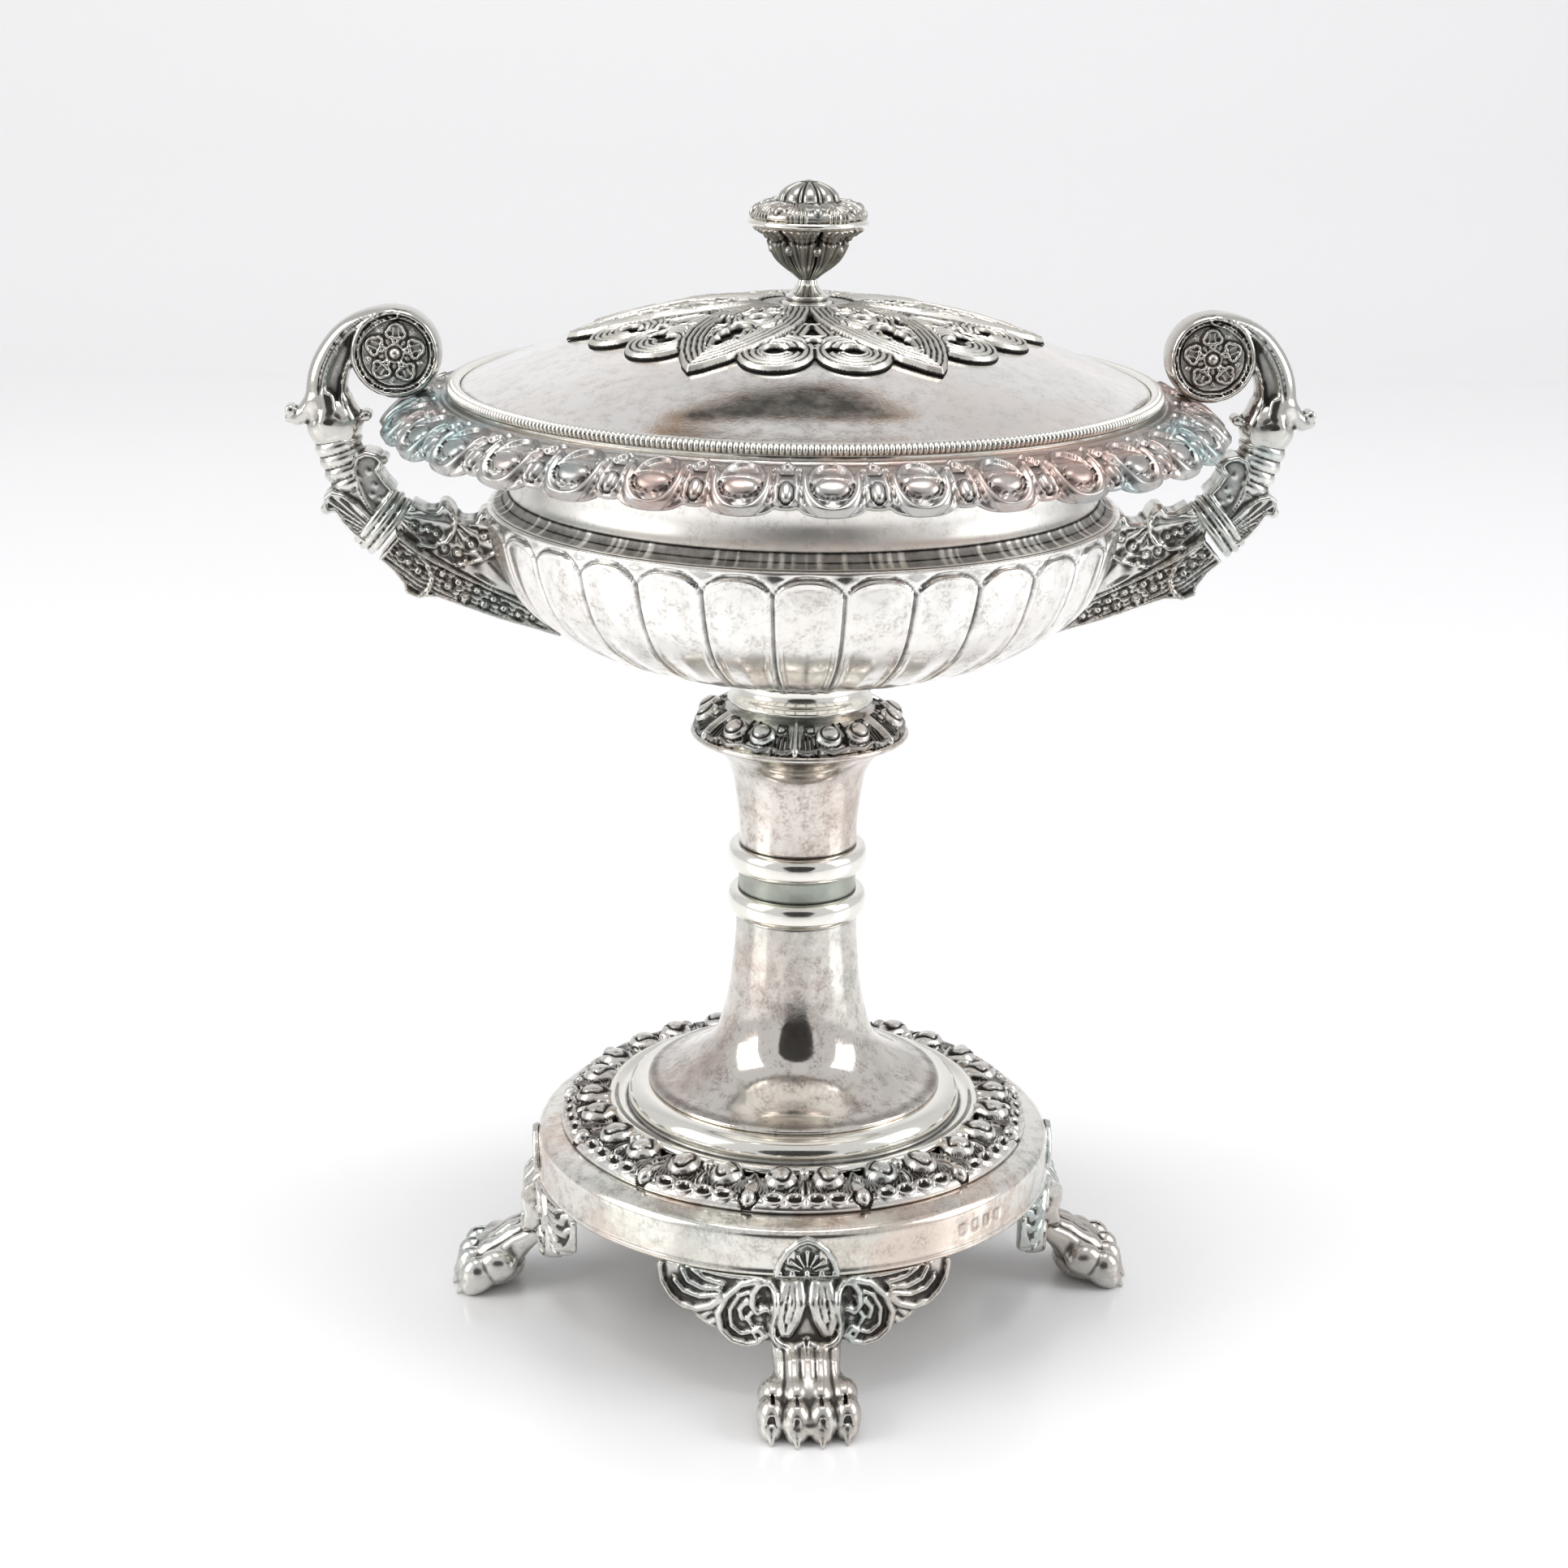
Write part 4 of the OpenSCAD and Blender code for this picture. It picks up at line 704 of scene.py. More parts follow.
revolve("v_lid_bead_edge", prof, 432 * 6, disp=bead_d, soft=0, mat=M_BRIGHT, replaces=["lid_bead_edge"], slot="bright_silver", body="lid")
revolve("v_lid_bezel", chain([(64.5, 197.7), (64.9, 197.5), (65.4, 197.5), (65.6, 197.7)], [(65.6, 197.7), (65.6, 203.9)], [(65.6, 203.9), (64.5, 204.3)], [(64.5, 204.3), (64.5, 197.7)], step=0.5)[:-1],
        256, soft=0, mat=M_POL, replaces=["lid_bezel"], slot="polished_silver", body="lid")

# ----------------------------------------------------------------------------
# openwork on the lid: six pointed leaves, six double lobes
# ----------------------------------------------------------------------------
LID_TURN = math.radians(-91)
LEAF = [(1, 2.0), (5, 3.4), (11, 6.4), (18, 9.0), (24, 10.0), (31, 9.4), (36.6, 7.9), (42, 5.3), (46, 2.4), (48.2, 0)]
LEAF = LEAF + [(u, -v) for u, v in LEAF[-2::-1]]

def drop(x, y, u0, v0, r0, u1, v1, r1):
    d, h = seg2(x, y, u0, v0, u1, v1); return d - (r0 + (r1 - r0) * h)

gx = np.arange(-48.9, 48.95, 0.26); X, Y = np.meshgrid(gx, gx, indexing="ij")
R_ = np.hypot(X, Y); TH = np.arctan2(Y, X)
al = wrap(TH, 6, LID_TURN + math.pi / 6); a2 = wrap(TH, 6, LID_TURN)
u, v = R_ * np.cos(al), np.abs(R_ * np.sin(al)); u2, v2 = R_ * np.cos(a2), np.abs(R_ * np.sin(a2))
dl = poly_sd(u, v, LEAF)
dc = np.hypot(u2 - 37.3, v2 - 7.35) - 7.5
dL = np.minimum(dc, poly_sd(u2, v2, [(6, -3), (20, -3.2), (27, -6.5), (31, -10.5), (35, -14), (38, -13), (38, 13), (35, 14), (31, 10.5), (27, 6.5), (20, 3.2), (6, 3)]))
h_leaf = np.minimum.reduce([drop(u, v, 28.0, 0, 1.55, 28.2, 0, 1.5), drop(u, v, 31.2, 0.1, 1.75, 31.5, 0, 1.7), drop(u, v, 34.4, 0, 1.5, 36.8, 0, 0.7)])
h_leaf2 = np.minimum.reduce([np.hypot((u - 20.3) / 1.1, v) - 1.7, drop(u, v, 23.0, 6.2, 0.45, 26.2, 5.2, 0.95), drop(u, v, 10.8, 0, 0.7, 13.8, 0, 1.25), drop(u, v, 16.4, 3.6, 0.35, 17.6, 4.1, 0.6)])
h_lobe = np.minimum.reduce([np.hypot(u2 - 36.4, v2 - 3.6) - 1.7, np.hypot(u2 - 36.6, v2 - 7.5) - 1.9])
h_l2 = np.hypot((u2 - 33.4), v2) - 1.3
h_l3 = np.minimum(drop(u2, v2, 24.2, 0, 0.2, 28.6, 0, 1.45), drop(u2, v2, 29.2, 0.9, 0.5, 29.4, 1.1, 0.6))
h_l4 = drop(u2, v2, 14.6, 0, 0.15, 20.9, 0, 1.85)
h_l5 = drop(u2, v2, 29.2, 5.6, 0.35, 30.6, 6.6, 0.75)
in_leaf = dl < 0
hl = np.minimum(h_leaf, h_leaf2); hL = np.minimum.reduce([h_lobe, h_l2, h_l3, h_l4, h_l5])
e = -dl
H1 = 1.55 + 0.30 * np.cos(2 * np.pi * (e - 0.5) / 1.12)
Hin = 1.25 + 0.30 * np.cos(2 * np.pi * (hl - 0.65) / 1.3) * np.exp(-np.clip(hl - 3.2, 0, 9))
H1 = np.where(e < 4.9, H1, Hin)
e2 = -dc
H2 = np.where((e2 > 0) & (e2 < 4.4), 1.25 + 0.30 * np.cos(2 * np.pi * (e2 - 0.55) / 1.3), 1.1 + 0.28 * np.cos(2 * np.pi * (hL - 0.6) / 1.25))
H2 = np.where(np.abs(v2) < 0.35, np.where((u2 > 37) & (v2 < 0.3), 0.7, H2), H2)
H = np.where(in_leaf, H1, H2)
G = np.where(in_leaf, np.where(e < 4.9, 0.5 - 0.5 * np.cos(2 * np.pi * (e - 0.5) / 1.12), (0.5 - 0.5 * np.cos(2 * np.pi * (hl - 0.65) / 1.3)) * np.exp(-np.clip(hl - 3.2, 0, 9))),
             np.where((e2 > 0) & (e2 < 4.4), 0.5 - 0.5 * np.cos(2 * np.pi * (e2 - 0.55) / 1.3), 0.5 - 0.5 * np.cos(2 * np.pi * (hL - 0.6) / 1.25)))
H = np.where(~in_leaf & (dl < 0.45), np.minimum(H, 0.75), H)
S2 = np.minimum(dl, dL)
S2 = np.maximum(S2, -np.where(in_leaf, hl, np.minimum(hL, 9)))
S2 = np.maximum(S2, 5.6 - R_)
H = H * np.sqrt(np.clip(-S2 / 0.6, 0.12, 1)); H = np.where(R_ < 9.5, np.minimum(H, 1.1), H)
gw = np.arange(-0.4, 2.5, 0.24)
F = np.maximum(S2[:, :, None], np.maximum(gw[None, None] - H[:, :, None], 0.06 - gw[None, None]))
V, Q = nets(F, (gx[0], gx[0], gw[0]), (0.26, 0.26, 0.24))
V = averaged(V, neighbours(Q), 1, 0.5)
iu = np.clip((V[:, 0] - gx[0]) / 0.26, 0, len(gx) - 1.001); iv = np.clip((V[:, 1] - gx[0]) / 0.26, 0, len(gx) - 1.001)
i0, j0 = iu.astype(int), iv.astype(int); fu, fv = iu - i0, iv - j0
GV = G[i0, j0] * (1 - fu) * (1 - fv) + G[i0 + 1, j0] * fu * (1 - fv) + G[i0, j0 + 1] * (1 - fu) * fv + G[i0 + 1, j0 + 1] * fu * fv
# painted shade: the openwork's sides and underside, below 0.6 mm, go near black; the chased grooves and hollows darken
# as oxide together with painted shade
cv = np.maximum(cavity(V, Q, 4, 5.0, 0.18), 0.80 * sst(0.5, 0.95, GV)); cv = np.where(V[:, 2] < 0.6, 0.97, cv)
DOME = np.array([(0, 219.0), (6, 218.98), (16, 218.5), (26, 217.3), (34.7, 215.6), (42, 213.6), (47.8, 211.85), (54.3, 209.65)])
DS = catmull(DOME, 0.5)
V[:, 2] += np.interp(np.hypot(V[:, 0], V[:, 1]), DS[:, 0], DS[:, 1])
add_mesh("v_lid_tracery", V, Q, cav=cv, mat=M_TRACERY, replaces=["lid_tracery"], slot="chased_silver", body="lid")

# ----------------------------------------------------------------------------
# finial
# ----------------------------------------------------------------------------
prof = chain([(1.2, 219.05), (4.8, 219.05)], [(4.8, 219.05), (5.15, 219.5), (5.0, 220.1), (4.6, 220.35)], [(4.6, 220.35), (3.9, 220.55)], [(3.9, 220.55), (4.3, 220.9), (4.25, 221.4), (3.9, 221.65)],
             [(3.9, 221.65), (3.3, 222.1), (2.5, 223.0), (2.0, 223.8), (1.85, 224.6)], [(1.85, 224.6), (1.2, 224.6)], [(1.2, 224.6), (1.2, 219.05)], step=0.18)[:-1]
def ff_d(th, p, s):
    r, z = p[:, 0][None], p[:, 1][None]; m = (z > 221.9) * (r > 1.5)
    # painted shade: dark in the flutes and along the crease at z 220.5
    g = ridge(wrap(th, 8), 0.1); return -0.14 * g * m, 0.7 * g * m + 0.8 * np.exp(-((z - 220.5) / 0.15) ** 2) * (r > 3)
revolve("v_finial_foot", prof, 128, disp=ff_d, soft=1, mat=M_BRIGHT, replaces=["finial_foot"], slot="bright_silver", body="lid")

prof = chain([(1.25, 224.65), (1.85, 224.65)], [(1.85, 224.65), (2.9, 225.6), (4.6, 226.9), (6.2, 228.4), (7.3, 230.1), (8.1, 231.9), (8.9, 233.4), (9.8, 234.3), (10.6, 234.75)], [(10.6, 234.75), (10.7, 235.15)],
             [(10.7, 235.15), (1.3, 235.1)], [(1.3, 235.1), (1.25, 224.65)], step=0.2)[:-1]
def cup_d(th, p, s):
    r, z = p[:, 0][None], p[:, 1][None]; out = (z < 234.9) & (r > 1.6) & (r > 1.85 + (z - 224.6) * 0.5)
    n = 8; a = wrap(th, n, FR - 0.2); k = np.pi / n; t = np.abs(a) / k
    f = np.clip((z - 224.7) / 10.0, 0, 1)
    # overlapping leaves: a midrib, veins fanning out, dark seams, curled tips under the ledge
    seam = ridge(t - 1, 0.10 + 0.06 * (1 - f)); mid = ridge(t, 0.12)
    vein = np.cos(2 * np.pi * (t * 2.6 - f * 0.9)) * sst(0.12, 0.3, t)
    tipc = sst(0.93, 0.97, f + 0.06 * (1 - t ** 2)) * 0.6
    d = 0.35 * mid - 0.75 * seam + 0.14 * vein * sst(0.1, 0.4, f) + 0.55 * tipc
    gap = ridge(f + 0.10 * (1 - t ** 2) - 0.84, 0.035)
    d = d - 0.5 * gap
    d = d * np.clip(r / 6.5, 0.2, 1)
    # painted shade: dark in the seams, the vein troughs and the gap, lighter on the midribs, the vein crests, the
    # curled tips and the bud
    c = np.clip(0.42 + 0.8 * seam - 0.35 * mid - 0.32 * vein + 0.5 * gap - 0.6 * tipc, 0, 1)
    # a hanging bud half way up
    b = wrap(th, n, FR - 0.2 + k); bd = np.hypot(b * r, z - 230.6)
    hb = np.sqrt(np.clip(1 - (bd / 0.85) ** 2, 0, None)) * 0.7
    d = np.where(hb > 0, np.maximum(d, hb - 0.2), d); c = np.where(hb > 0.1, 0.15, c)
    return d * out, c * out
revolve("v_finial_cup", prof, 640, disp=cup_d, soft=1, mat=M_FIN, replaces=["finial_cup"], slot="cast_silver", body="lid")
prof = chain([(0, 235.2), (11.3, 235.2)], [(11.3, 235.2), (12.0, 235.45), (12.15, 235.95), (11.95, 236.45), (11.3, 236.68)], [(11.3, 236.68), (0, 236.68)], step=0.22)
revolve("v_finial_ledge", prof, 192, closed=False, soft=1, mat=M_BRIGHT, replaces=["finial_ledge"], slot="bright_silver", body="lid")

prof = chain([(0, 236.7), (11.0, 236.7)], [(11.0, 236.7), (11.35, 237.2), (11.0, 238.1), (9.8, 239.0), (8.2, 239.55), (6.6, 239.75)], [(6.6, 239.75), (6.05, 240.3), (5.7, 241.3), (4.6, 242.4), (3.0, 243.2), (1.5, 243.6), (0, 243.75)], step=0.16)
def knob_d(th, p, s):
    r, z = p[:, 0][None], p[:, 1][None]; lowr = (r > 6.55) & (z > 236.75); up = (z > 239.8)
    n = 8; a = wrap(th, n, FR + 0.12); k = np.pi / n; x = a * 9.8; y = (11.4 - r) + 0 * th; ax = np.abs(x)
    # the sunk ground round the lower ring's leaves and beads is painted dark, oxide together with painted shade
    d = np.full((len(th), p.shape[0]), -0.2); c = np.full(d.shape, 0.75)
    def put(h, cv):
        nonlocal d, c
        m = h > d; d = np.where(m, h, d); c = np.where(m, cv, c)
    for j in range(3):
        dd, _ = poly_d(ax, y, [(1.9 + 0.75 * j, 4.6), (2.6 + 0.7 * j, 2.2), (2.2 + 0.75 * j, 0.2)]); put(0.5 * ridge(dd, 0.3), 0.1)
    put(np.where(ell(ax, y, 1.45, 2.2, 0.85, 1.2) < 0, 0.55, -9) * 1.0, 0.05)
    for cx, cy, rr in ((0, 3.2, 0.95), (0, 1.2, 1.0)):
        q = np.hypot(x - cx, y - cy); put(np.where(q < rr, np.sqrt(np.clip(1 - (q / rr) ** 2, 0, 1)) * rr * 0.9 - 0.1, -9), 0.05 + 0.8 * sst(rr * 0.8, rr, q))
    D = np.where(lowr, d * sst(0, 0.5, r - 6.5), 0); C = np.where(lowr, c, 0)
    n2 = 9; b = wrap(th, n2, FR); t = np.abs(b) / (np.pi / n2); m = sst(0.6, 2.0, r)
    pet = np.sqrt(np.clip(1 - (t / 0.72) ** 2, 0, 1)); rib = ridge(t - 1, 0.16)
    # painted shade: dark between the petals, lighter on the petals and ribs
    d2 = (0.55 * pet - 0.35 + 0.5 * rib) * m; c2 = np.clip(0.95 - 1.2 * pet - 1.1 * rib, 0, 1) * m
    but = r < 1.3; d2 = np.where(but, 0.35 * np.sqrt(np.clip(1 - (r / 1.3) ** 2, 0, 1)), d2)
    c2 = np.where((r > 1.2) & (r < 1.7), 0.8, c2)
    # painted shade: a dark line in the crease at r 6.45
    base = np.exp(-((r - 6.45) / 0.28) ** 2) * 0.9
    return np.where(up, d2, D), np.maximum(np.where(up, c2, C), base * (z > 239))
revolve("v_finial_knob", prof, 560, closed=False, disp=knob_d, soft=1, mat=M_FIN, replaces=["finial_knob"], slot="cast_silver", body="lid")

# ----------------------------------------------------------------------------
# handles, drawn on a grid of 6.11 units to the millimetre, mirrored for the other side
# ----------------------------------------------------------------------------
def HD(u, v): return (82.1 + (482 - u) / 6.11 - 0.0166 * (v - 441) * 0.1636, 209.1 - (v - 441) * 0.1636)
def HP(*pts): return [HD(*p[:2]) + tuple(p[2:]) for p in pts]
VX, VZ = HD(482, 438)

HORN = HP((403, 526, 5.3, 5.0), (398, 508, 4.5, 4.4), (396, 486, 4.15, 4.1), (401, 461, 4.0, 4.0), (412, 437, 3.6, 3.9), (427, 417, 3.1, 3.9), (447, 401, 2.3, 4.0), (466, 392, 1.6, 4.15), (482, 389.5, 1.25, 4.3))
HORN = catmull(HORN, 1.2)
RIMR = 48.3 / 6.11
def horn_f(P):
    x, y, z = P.T
    dn, arc, a, b = along(x, z, HORN)
    t = dn / a; o = -t                                    # o: +1 on the outer edge
    d = oval(dn, y, a, b, 2.6)
    w = sst(0.35, 0.8, np.abs(y) / b)
    d = d + w * (0.95 * ridge(o + 0.35, 0.38) + 0.30 * ridge(o - 0.22, 0.10)) * sst(1.0, 5, arc) - w * 0.35 * ridge(o + 0.86, 0.16)
    rad = np.hypot(x - VX, z - VZ); ang = np.arctan2(z - VZ, x - VX)
    rim = oval(rad - RIMR, y, 1.3, 4.3, 2.4) + 0.35 * ridge(rad - RIMR + 0.35, 0.22) * sst(2.2, 3.6, np.abs(y))
    disc = np.maximum(rad - RIMR, np.abs(y) - 2.9)
    d = smin(smin(d, rim, 0.5), disc, 0.25)
    lip = oval(np.hypot(dn * 5.0 / a, 0), y, 5.4, 5.2); lip = smax(lip, np.abs(arc - 0.5) - 0.75, 0.5) + 0 * x
    d = smin(d, lip, 0.6)
    for path in (HP((418, 496, 1.5), (424, 509, 1.35), (433, 518, 1.1), (442, 519, 0.9)), HP((380, 498, 2.0), (371, 512, 2.1), (359, 520, 1.7), (350, 520, 1.2))):
        dd, ar, ra = along(x, z, path); d = smin(d, oval(dd, y, ra, 3.6 - 0.25 * ar, 2.2), 0.7)
    for (cx, cz), r_ in ((HD(443, 516), 1.15), (HD(351, 510), 1.15)): d = np.minimum(d, plate(np.hypot(x - cx, z - cz) - r_, y, 2.4, 0.8))
    dd, ar, ra = along(x, z, HP((398, 494, 1.0), (400, 508, 1.6), (396, 522, 2.4))); face = np.sqrt((dd / 1.6) ** 2 + ((np.abs(y) - 3.9 - 0.16 * ar ** 1.3) / 0.7) ** 2) - 1
    d = smin(d, face * 0.7, 0.8)
    return d

SOCK = catmull(HP((404, 521, 4.9, 4.9), (406, 545, 4.75, 4.7), (410, 565, 4.5, 4.6), (415, 585, 4.2, 4.4), (422, 603, 3.9, 4.3), (433, 622, 3.9, 4.2), (447, 641, 4.4, 4.5)), 1.2)
LEAF_A = HP((441, 634), (431, 614), (424, 592), (422, 575), (428, 563), (441, 557), (455, 560), (464, 568), (463, 575), (459, 582), (466, 594), (477, 606), (466, 622), (452, 640))
LEAF_B = HP((448, 640), (430, 621), (413, 609), (398, 605), (388, 613), (387, 628), (391, 637), (400, 633), (408, 646), (420, 660), (436, 674), (452, 660))
def sock_f(P):
    x, y, z = P.T
    dn, arc, a, b = along(x, z, SOCK)
    tilt = arc - 0.10 * dn
    d = oval(dn, y, a, b, 2.1)
    d = d - 0.80 * (np.abs(np.cos(np.pi * tilt / 2.6)) ** 0.6 - 0.6) * sst(15.5, 13.5, arc)
    pa = poly_sd(x, z, LEAF_A); pb = poly_sd(x, z, LEAF_B)
    ay = np.abs(y)
    da = plate(pa, y, 4.5, 1.0) + sst(3.0, 4.2, ay) * (1.15 * sst(-0.75, -1.25, pa) - 0.45 * sum(ridge(np.hypot(x - c[0], z - c[1]), 0.62) for c in HP((444, 583), (452, 600), (447, 612), (458, 617))))
    db = plate(pb, y, 5.0, 1.4)
    # veins run from the collar out to the tip
    (cx, cz) = HD(462, 668); ang = np.arctan2(z - cz, x - cx)
    db = db + 0.35 * ridge(np.abs((ang * 9.5) % 1 - 0.5), 0.3) * sst(-0.5, -1.2, pb) * sst(2.6, 4.4, ay) - 0.45 * ridge(pb + 0.5, 0.45) * sst(3.0, 4.4, ay)
    d = smin(d, da, 0.3); d = smin(d, db, 0.35)
    c = HD(389, 631); d = smin(d, plate(np.hypot(x - c[0], z - c[1]) - 1.05, y, 3.8, 0.8), 0.4)
    c = HD(462, 570); d = smin(d, plate(np.hypot(x - c[0], z - c[1]) - 1.0, y, 3.6, 0.8), 0.4)
    return d

CC = HD(457, 649); CA = math.radians(37.7)
def coll_f(P):
    x, y, z = P.T
    t = (x - CC[0]) * math.cos(CA) + (z - CC[1]) * math.sin(CA); n = -(x - CC[0]) * math.sin(CA) + (z - CC[1]) * math.cos(CA)
    rr = np.hypot(n / 1.06, y)
    prof_ = 5.9 + 0.75 * ridge(t + 1.75, 0.85) + 0.95 * ridge(t - 0.1, 0.8) + 0.65 * ridge(t - 1.8, 0.75)
    return smax(rr - prof_, np.abs(t) - 2.6, 0.3)

ARM = HP((470, 640), (482, 612), (491, 614), (500, 622), (514, 630), (526, 630), (531, 622), (540, 622), (547, 630), (550, 641), (560, 644), (573, 643), (578, 633), (587, 630), (596, 636), (612, 640),
         (620, 700), (628, 742), (590, 728), (560, 712), (530, 696), (500, 678), (474, 668))
TAIL = HP((452, 692), (470, 670), (480, 660), (500, 678), (530, 697), (562, 714), (620, 744), (660, 767), (688, 788), (672, 797), (640, 785), (600, 772), (560, 756), (522, 741), (500, 740), (483, 734), (481, 724), (470, 708))
LOOP = HP((479, 662), (496, 676), (511, 697), (517, 716), (512, 731), (499, 739), (486, 733))
TOPL = HP((480, 661), (520, 692), (562, 715), (620, 745), (662, 769), (688, 788))
FAN1 = HP((476, 664), (498, 673), (519, 676), (536, 670), (546, 656), (550, 641)); FAN2 = HP((548, 699), (575, 692), (598, 681), (611, 664))
EYES = HP((505, 656, 0.75), (514, 655, 0.8), (524, 659, 0.8), (497, 650, 0.7), (533, 679, 0.8), (550, 684, 0.95), (567, 672, 0.95), (583, 661, 0.8), (560, 692, 0.6))
BUMPS = HP((530, 710, 0.85), (549, 722, 0.9), (572, 733, 0.85), (592, 745, 0.8), (536, 726, 1.0), (556, 742, 1.0), (580, 752, 0.9), (604, 757, 0.8), (622, 766, 0.7), (477, 684, 0.8), (489, 695, 0.85), (500, 707, 0.85), (640, 770, 0.6))
def arm_f(P):
    x, y, z = P.T; ay = np.abs(y)
    pa = poly_sd(x, z, ARM); side = sst(2.6, 4.6, ay)
    half = 5.2 + 0.09 * np.clip(72 - x, -14, 12)
    da = plate(pa, y, half, 2.2)
    q1, _ = poly_d(x, z, FAN1); q2, _ = poly_d(x, z, FAN2)
    (cx, cz) = HD(474, 636); a1 = np.arctan2(z - cz, x - cx)
    (cx, cz) = HD(540, 640); a2_ = np.arctan2(z - cz, x - cx)
    left = x > HD(548, 640)[0]
    st = np.where(left, np.cos(a1 * 20), np.cos(a2_ * 18))
    da = da + side * (0.55 + 0.28 * st) * sst(-0.6, -1.4, pa)
    da = da - side * (0.85 * ridge(q1, 0.55) + 0.8 * ridge(q2, 0.5))
    for ex_, ez, er in EYES:
        q = np.hypot(x - ex_, z - ez); da = da - side * (0.75 * ridge(q, er)) + side * 0.4 * ridge(q - er - 0.25, 0.3)
    pt = poly_sd(x, z, TAIL)
    ht = np.interp(x, [49, 56, 66, 76, 86], [1.0, 2.2, 3.6, 4.8, 4.9])
    dt = plate(pt, y, ht, 1.2)
    ql, _ = poly_d(x, z, LOOP); qt, ut = poly_d(x, z, TOPL); st2 = sst(0.45, 0.85, ay / ht)
    dt = dt + st2 * (0.45 + 0.22 * np.cos(2 * np.pi * qt / 0.95)) * sst(-0.4, -1.0, pt)
    dt = dt - st2 * (0.9 * ridge(ql, 0.62) + 0.85 * ridge(qt - 0.25, 0.5) + 0.4 * ridge(pt + 0.4, 0.4))
    for ex_, ez, er in BUMPS:
        q = np.hypot(x - ex_, z - ez); dt = dt - st2 * 0.8 * ridge(q, er) + st2 * 0.35 * ridge(q - er - 0.28, 0.3)
    d = smin(da, dt, 0.35)
    for (cx, cz), r_ in ((HD(535, 627), 1.15), (HD(585, 636), 1.05)): d = smin(d, plate(np.hypot(x - cx, z - cz) - r_, y, 3.4, 0.9), 0.4)
    # leave the collar and the bowl their room
    t = (x - CC[0]) * math.cos(CA) + (z - CC[1]) * math.sin(CA)
    return np.maximum(d, t + 2.3)

def rose_f(P):
    x, y, z = P.T; X_, Z_ = x - VX, z - VZ; rad = np.hypot(X_, Z_); ang = np.arctan2(Z_, X_)
    yy = np.abs(y) - 2.9
    a = wrap(ang, 5, math.pi / 2 + 0.08); u_, v_ = rad * np.cos(a), np.abs(rad * np.sin(a))
    pet = smin(smin(np.hypot(u_ - 4.5, v_) - 1.75, np.hypot(u_ - 3.9, v_ - 1.15) - 1.1, 0.2), np.hypot(u_ - 2.6, v_) - 0.85, 0.3)
    H_ = np.where(pet < 0, 0.3 + 0.85 * ridge(pet + 0.35, 0.4) + 0.35 * ridge(v_ - 0.55, 0.22) * (pet < -0.8), 0)
    bz = np.hypot(u_ - 5.55, v_ * 0 + rad * np.sin(np.pi / 5 - np.abs(a)) ) - 0.0
    H_ = np.maximum(H_, 1.5 * np.sqrt(np.clip(1 - (rad / 1.3) ** 2, 0, 1))); H_ = np.maximum(H_, 0.8 * ridge(rad - 1.75, 0.3))
    b = wrap(ang, 5, math.pi / 2 + 0.08 + math.pi / 5); q = np.hypot(rad * np.cos(b) - 5.3, rad * np.sin(b)); H_ = np.maximum(H_, 0.6 * np.sqrt(np.clip(1 - (q / 0.6) ** 2, 0, 1)))
    q = np.hypot(rad * np.cos(b) - 2.6, rad * np.sin(b)); H_ = np.maximum(H_, 0.6 * np.sqrt(np.clip(1 - (q / 0.55) ** 2, 0, 1)))
    H_ = np.where(np.abs(H_) < 0.02, 0.14, H_)
    return np.maximum(np.maximum(yy - H_, -yy - 0.02), rad - 6.6)

def handle_part(tag, fn, lo, hi, h, mat, slot, half=None):
    F, lo_ = field(fn, lo, hi, h); V, Q = nets(F, lo_, h)
    # the cavity value darkens the hollows, oxide together with painted shade
    V = averaged(V, neighbours(Q), 1, 0.55); c = cavity(V, Q, 6)
    for side, s in (("right", 1.0), ("left", -1.0)):
        W = V * [s, 1, 1]; K = Q if s > 0 else Q[:, ::-1]
        add_mesh("v_handle_%s_%s" % (side, tag), W, K, cav=c, mat=mat, replaces=["handle_%s_%s" % (side, tag)], slot=slot)
HS = 0.34
handle_part("horn", horn_f, (70, -6.5, 190), (106, 6.5, 222), HS, M_HORN, "polished_silver")
handle_part("socket", sock_f, (80, -6.5, 168), (103, 6.5, 200), HS, M_CAST, "cast_silver")
handle_part("collar", coll_f, (77, -8, 165), (95, 8, 186), 0.3, M_CAST, "bright_silver")
handle_part("arm", arm_f, (47, -8, 147), (90, 8, 184), HS, M_CAST, "cast_silver")
F, lo_ = field(rose_f, (VX - 7.2, -5.2, VZ - 7.2), (VX + 7.2, -2.6, VZ + 7.2), 0.2); V, Q = nets(F, lo_, 0.2)
# the cavity value darkens the hollows, oxide together with painted shade
V = averaged(V, neighbours(Q), 1, 0.5); c = cavity(V, Q, 5, 3.5)
for side, s in (("right", 1.0), ("left", -1.0)):
    for fb, t in (("front", 1.0), ("back", -1.0)):
        add_mesh("v_handle_%s_rosette_%s" % (side, fb), V * [s, t, 1], Q if s * t > 0 else Q[:, ::-1], cav=c, mat=M_CAST,
                 replaces=["handle_%s_rosette_%s" % (side, fb)], slot="bright_silver")

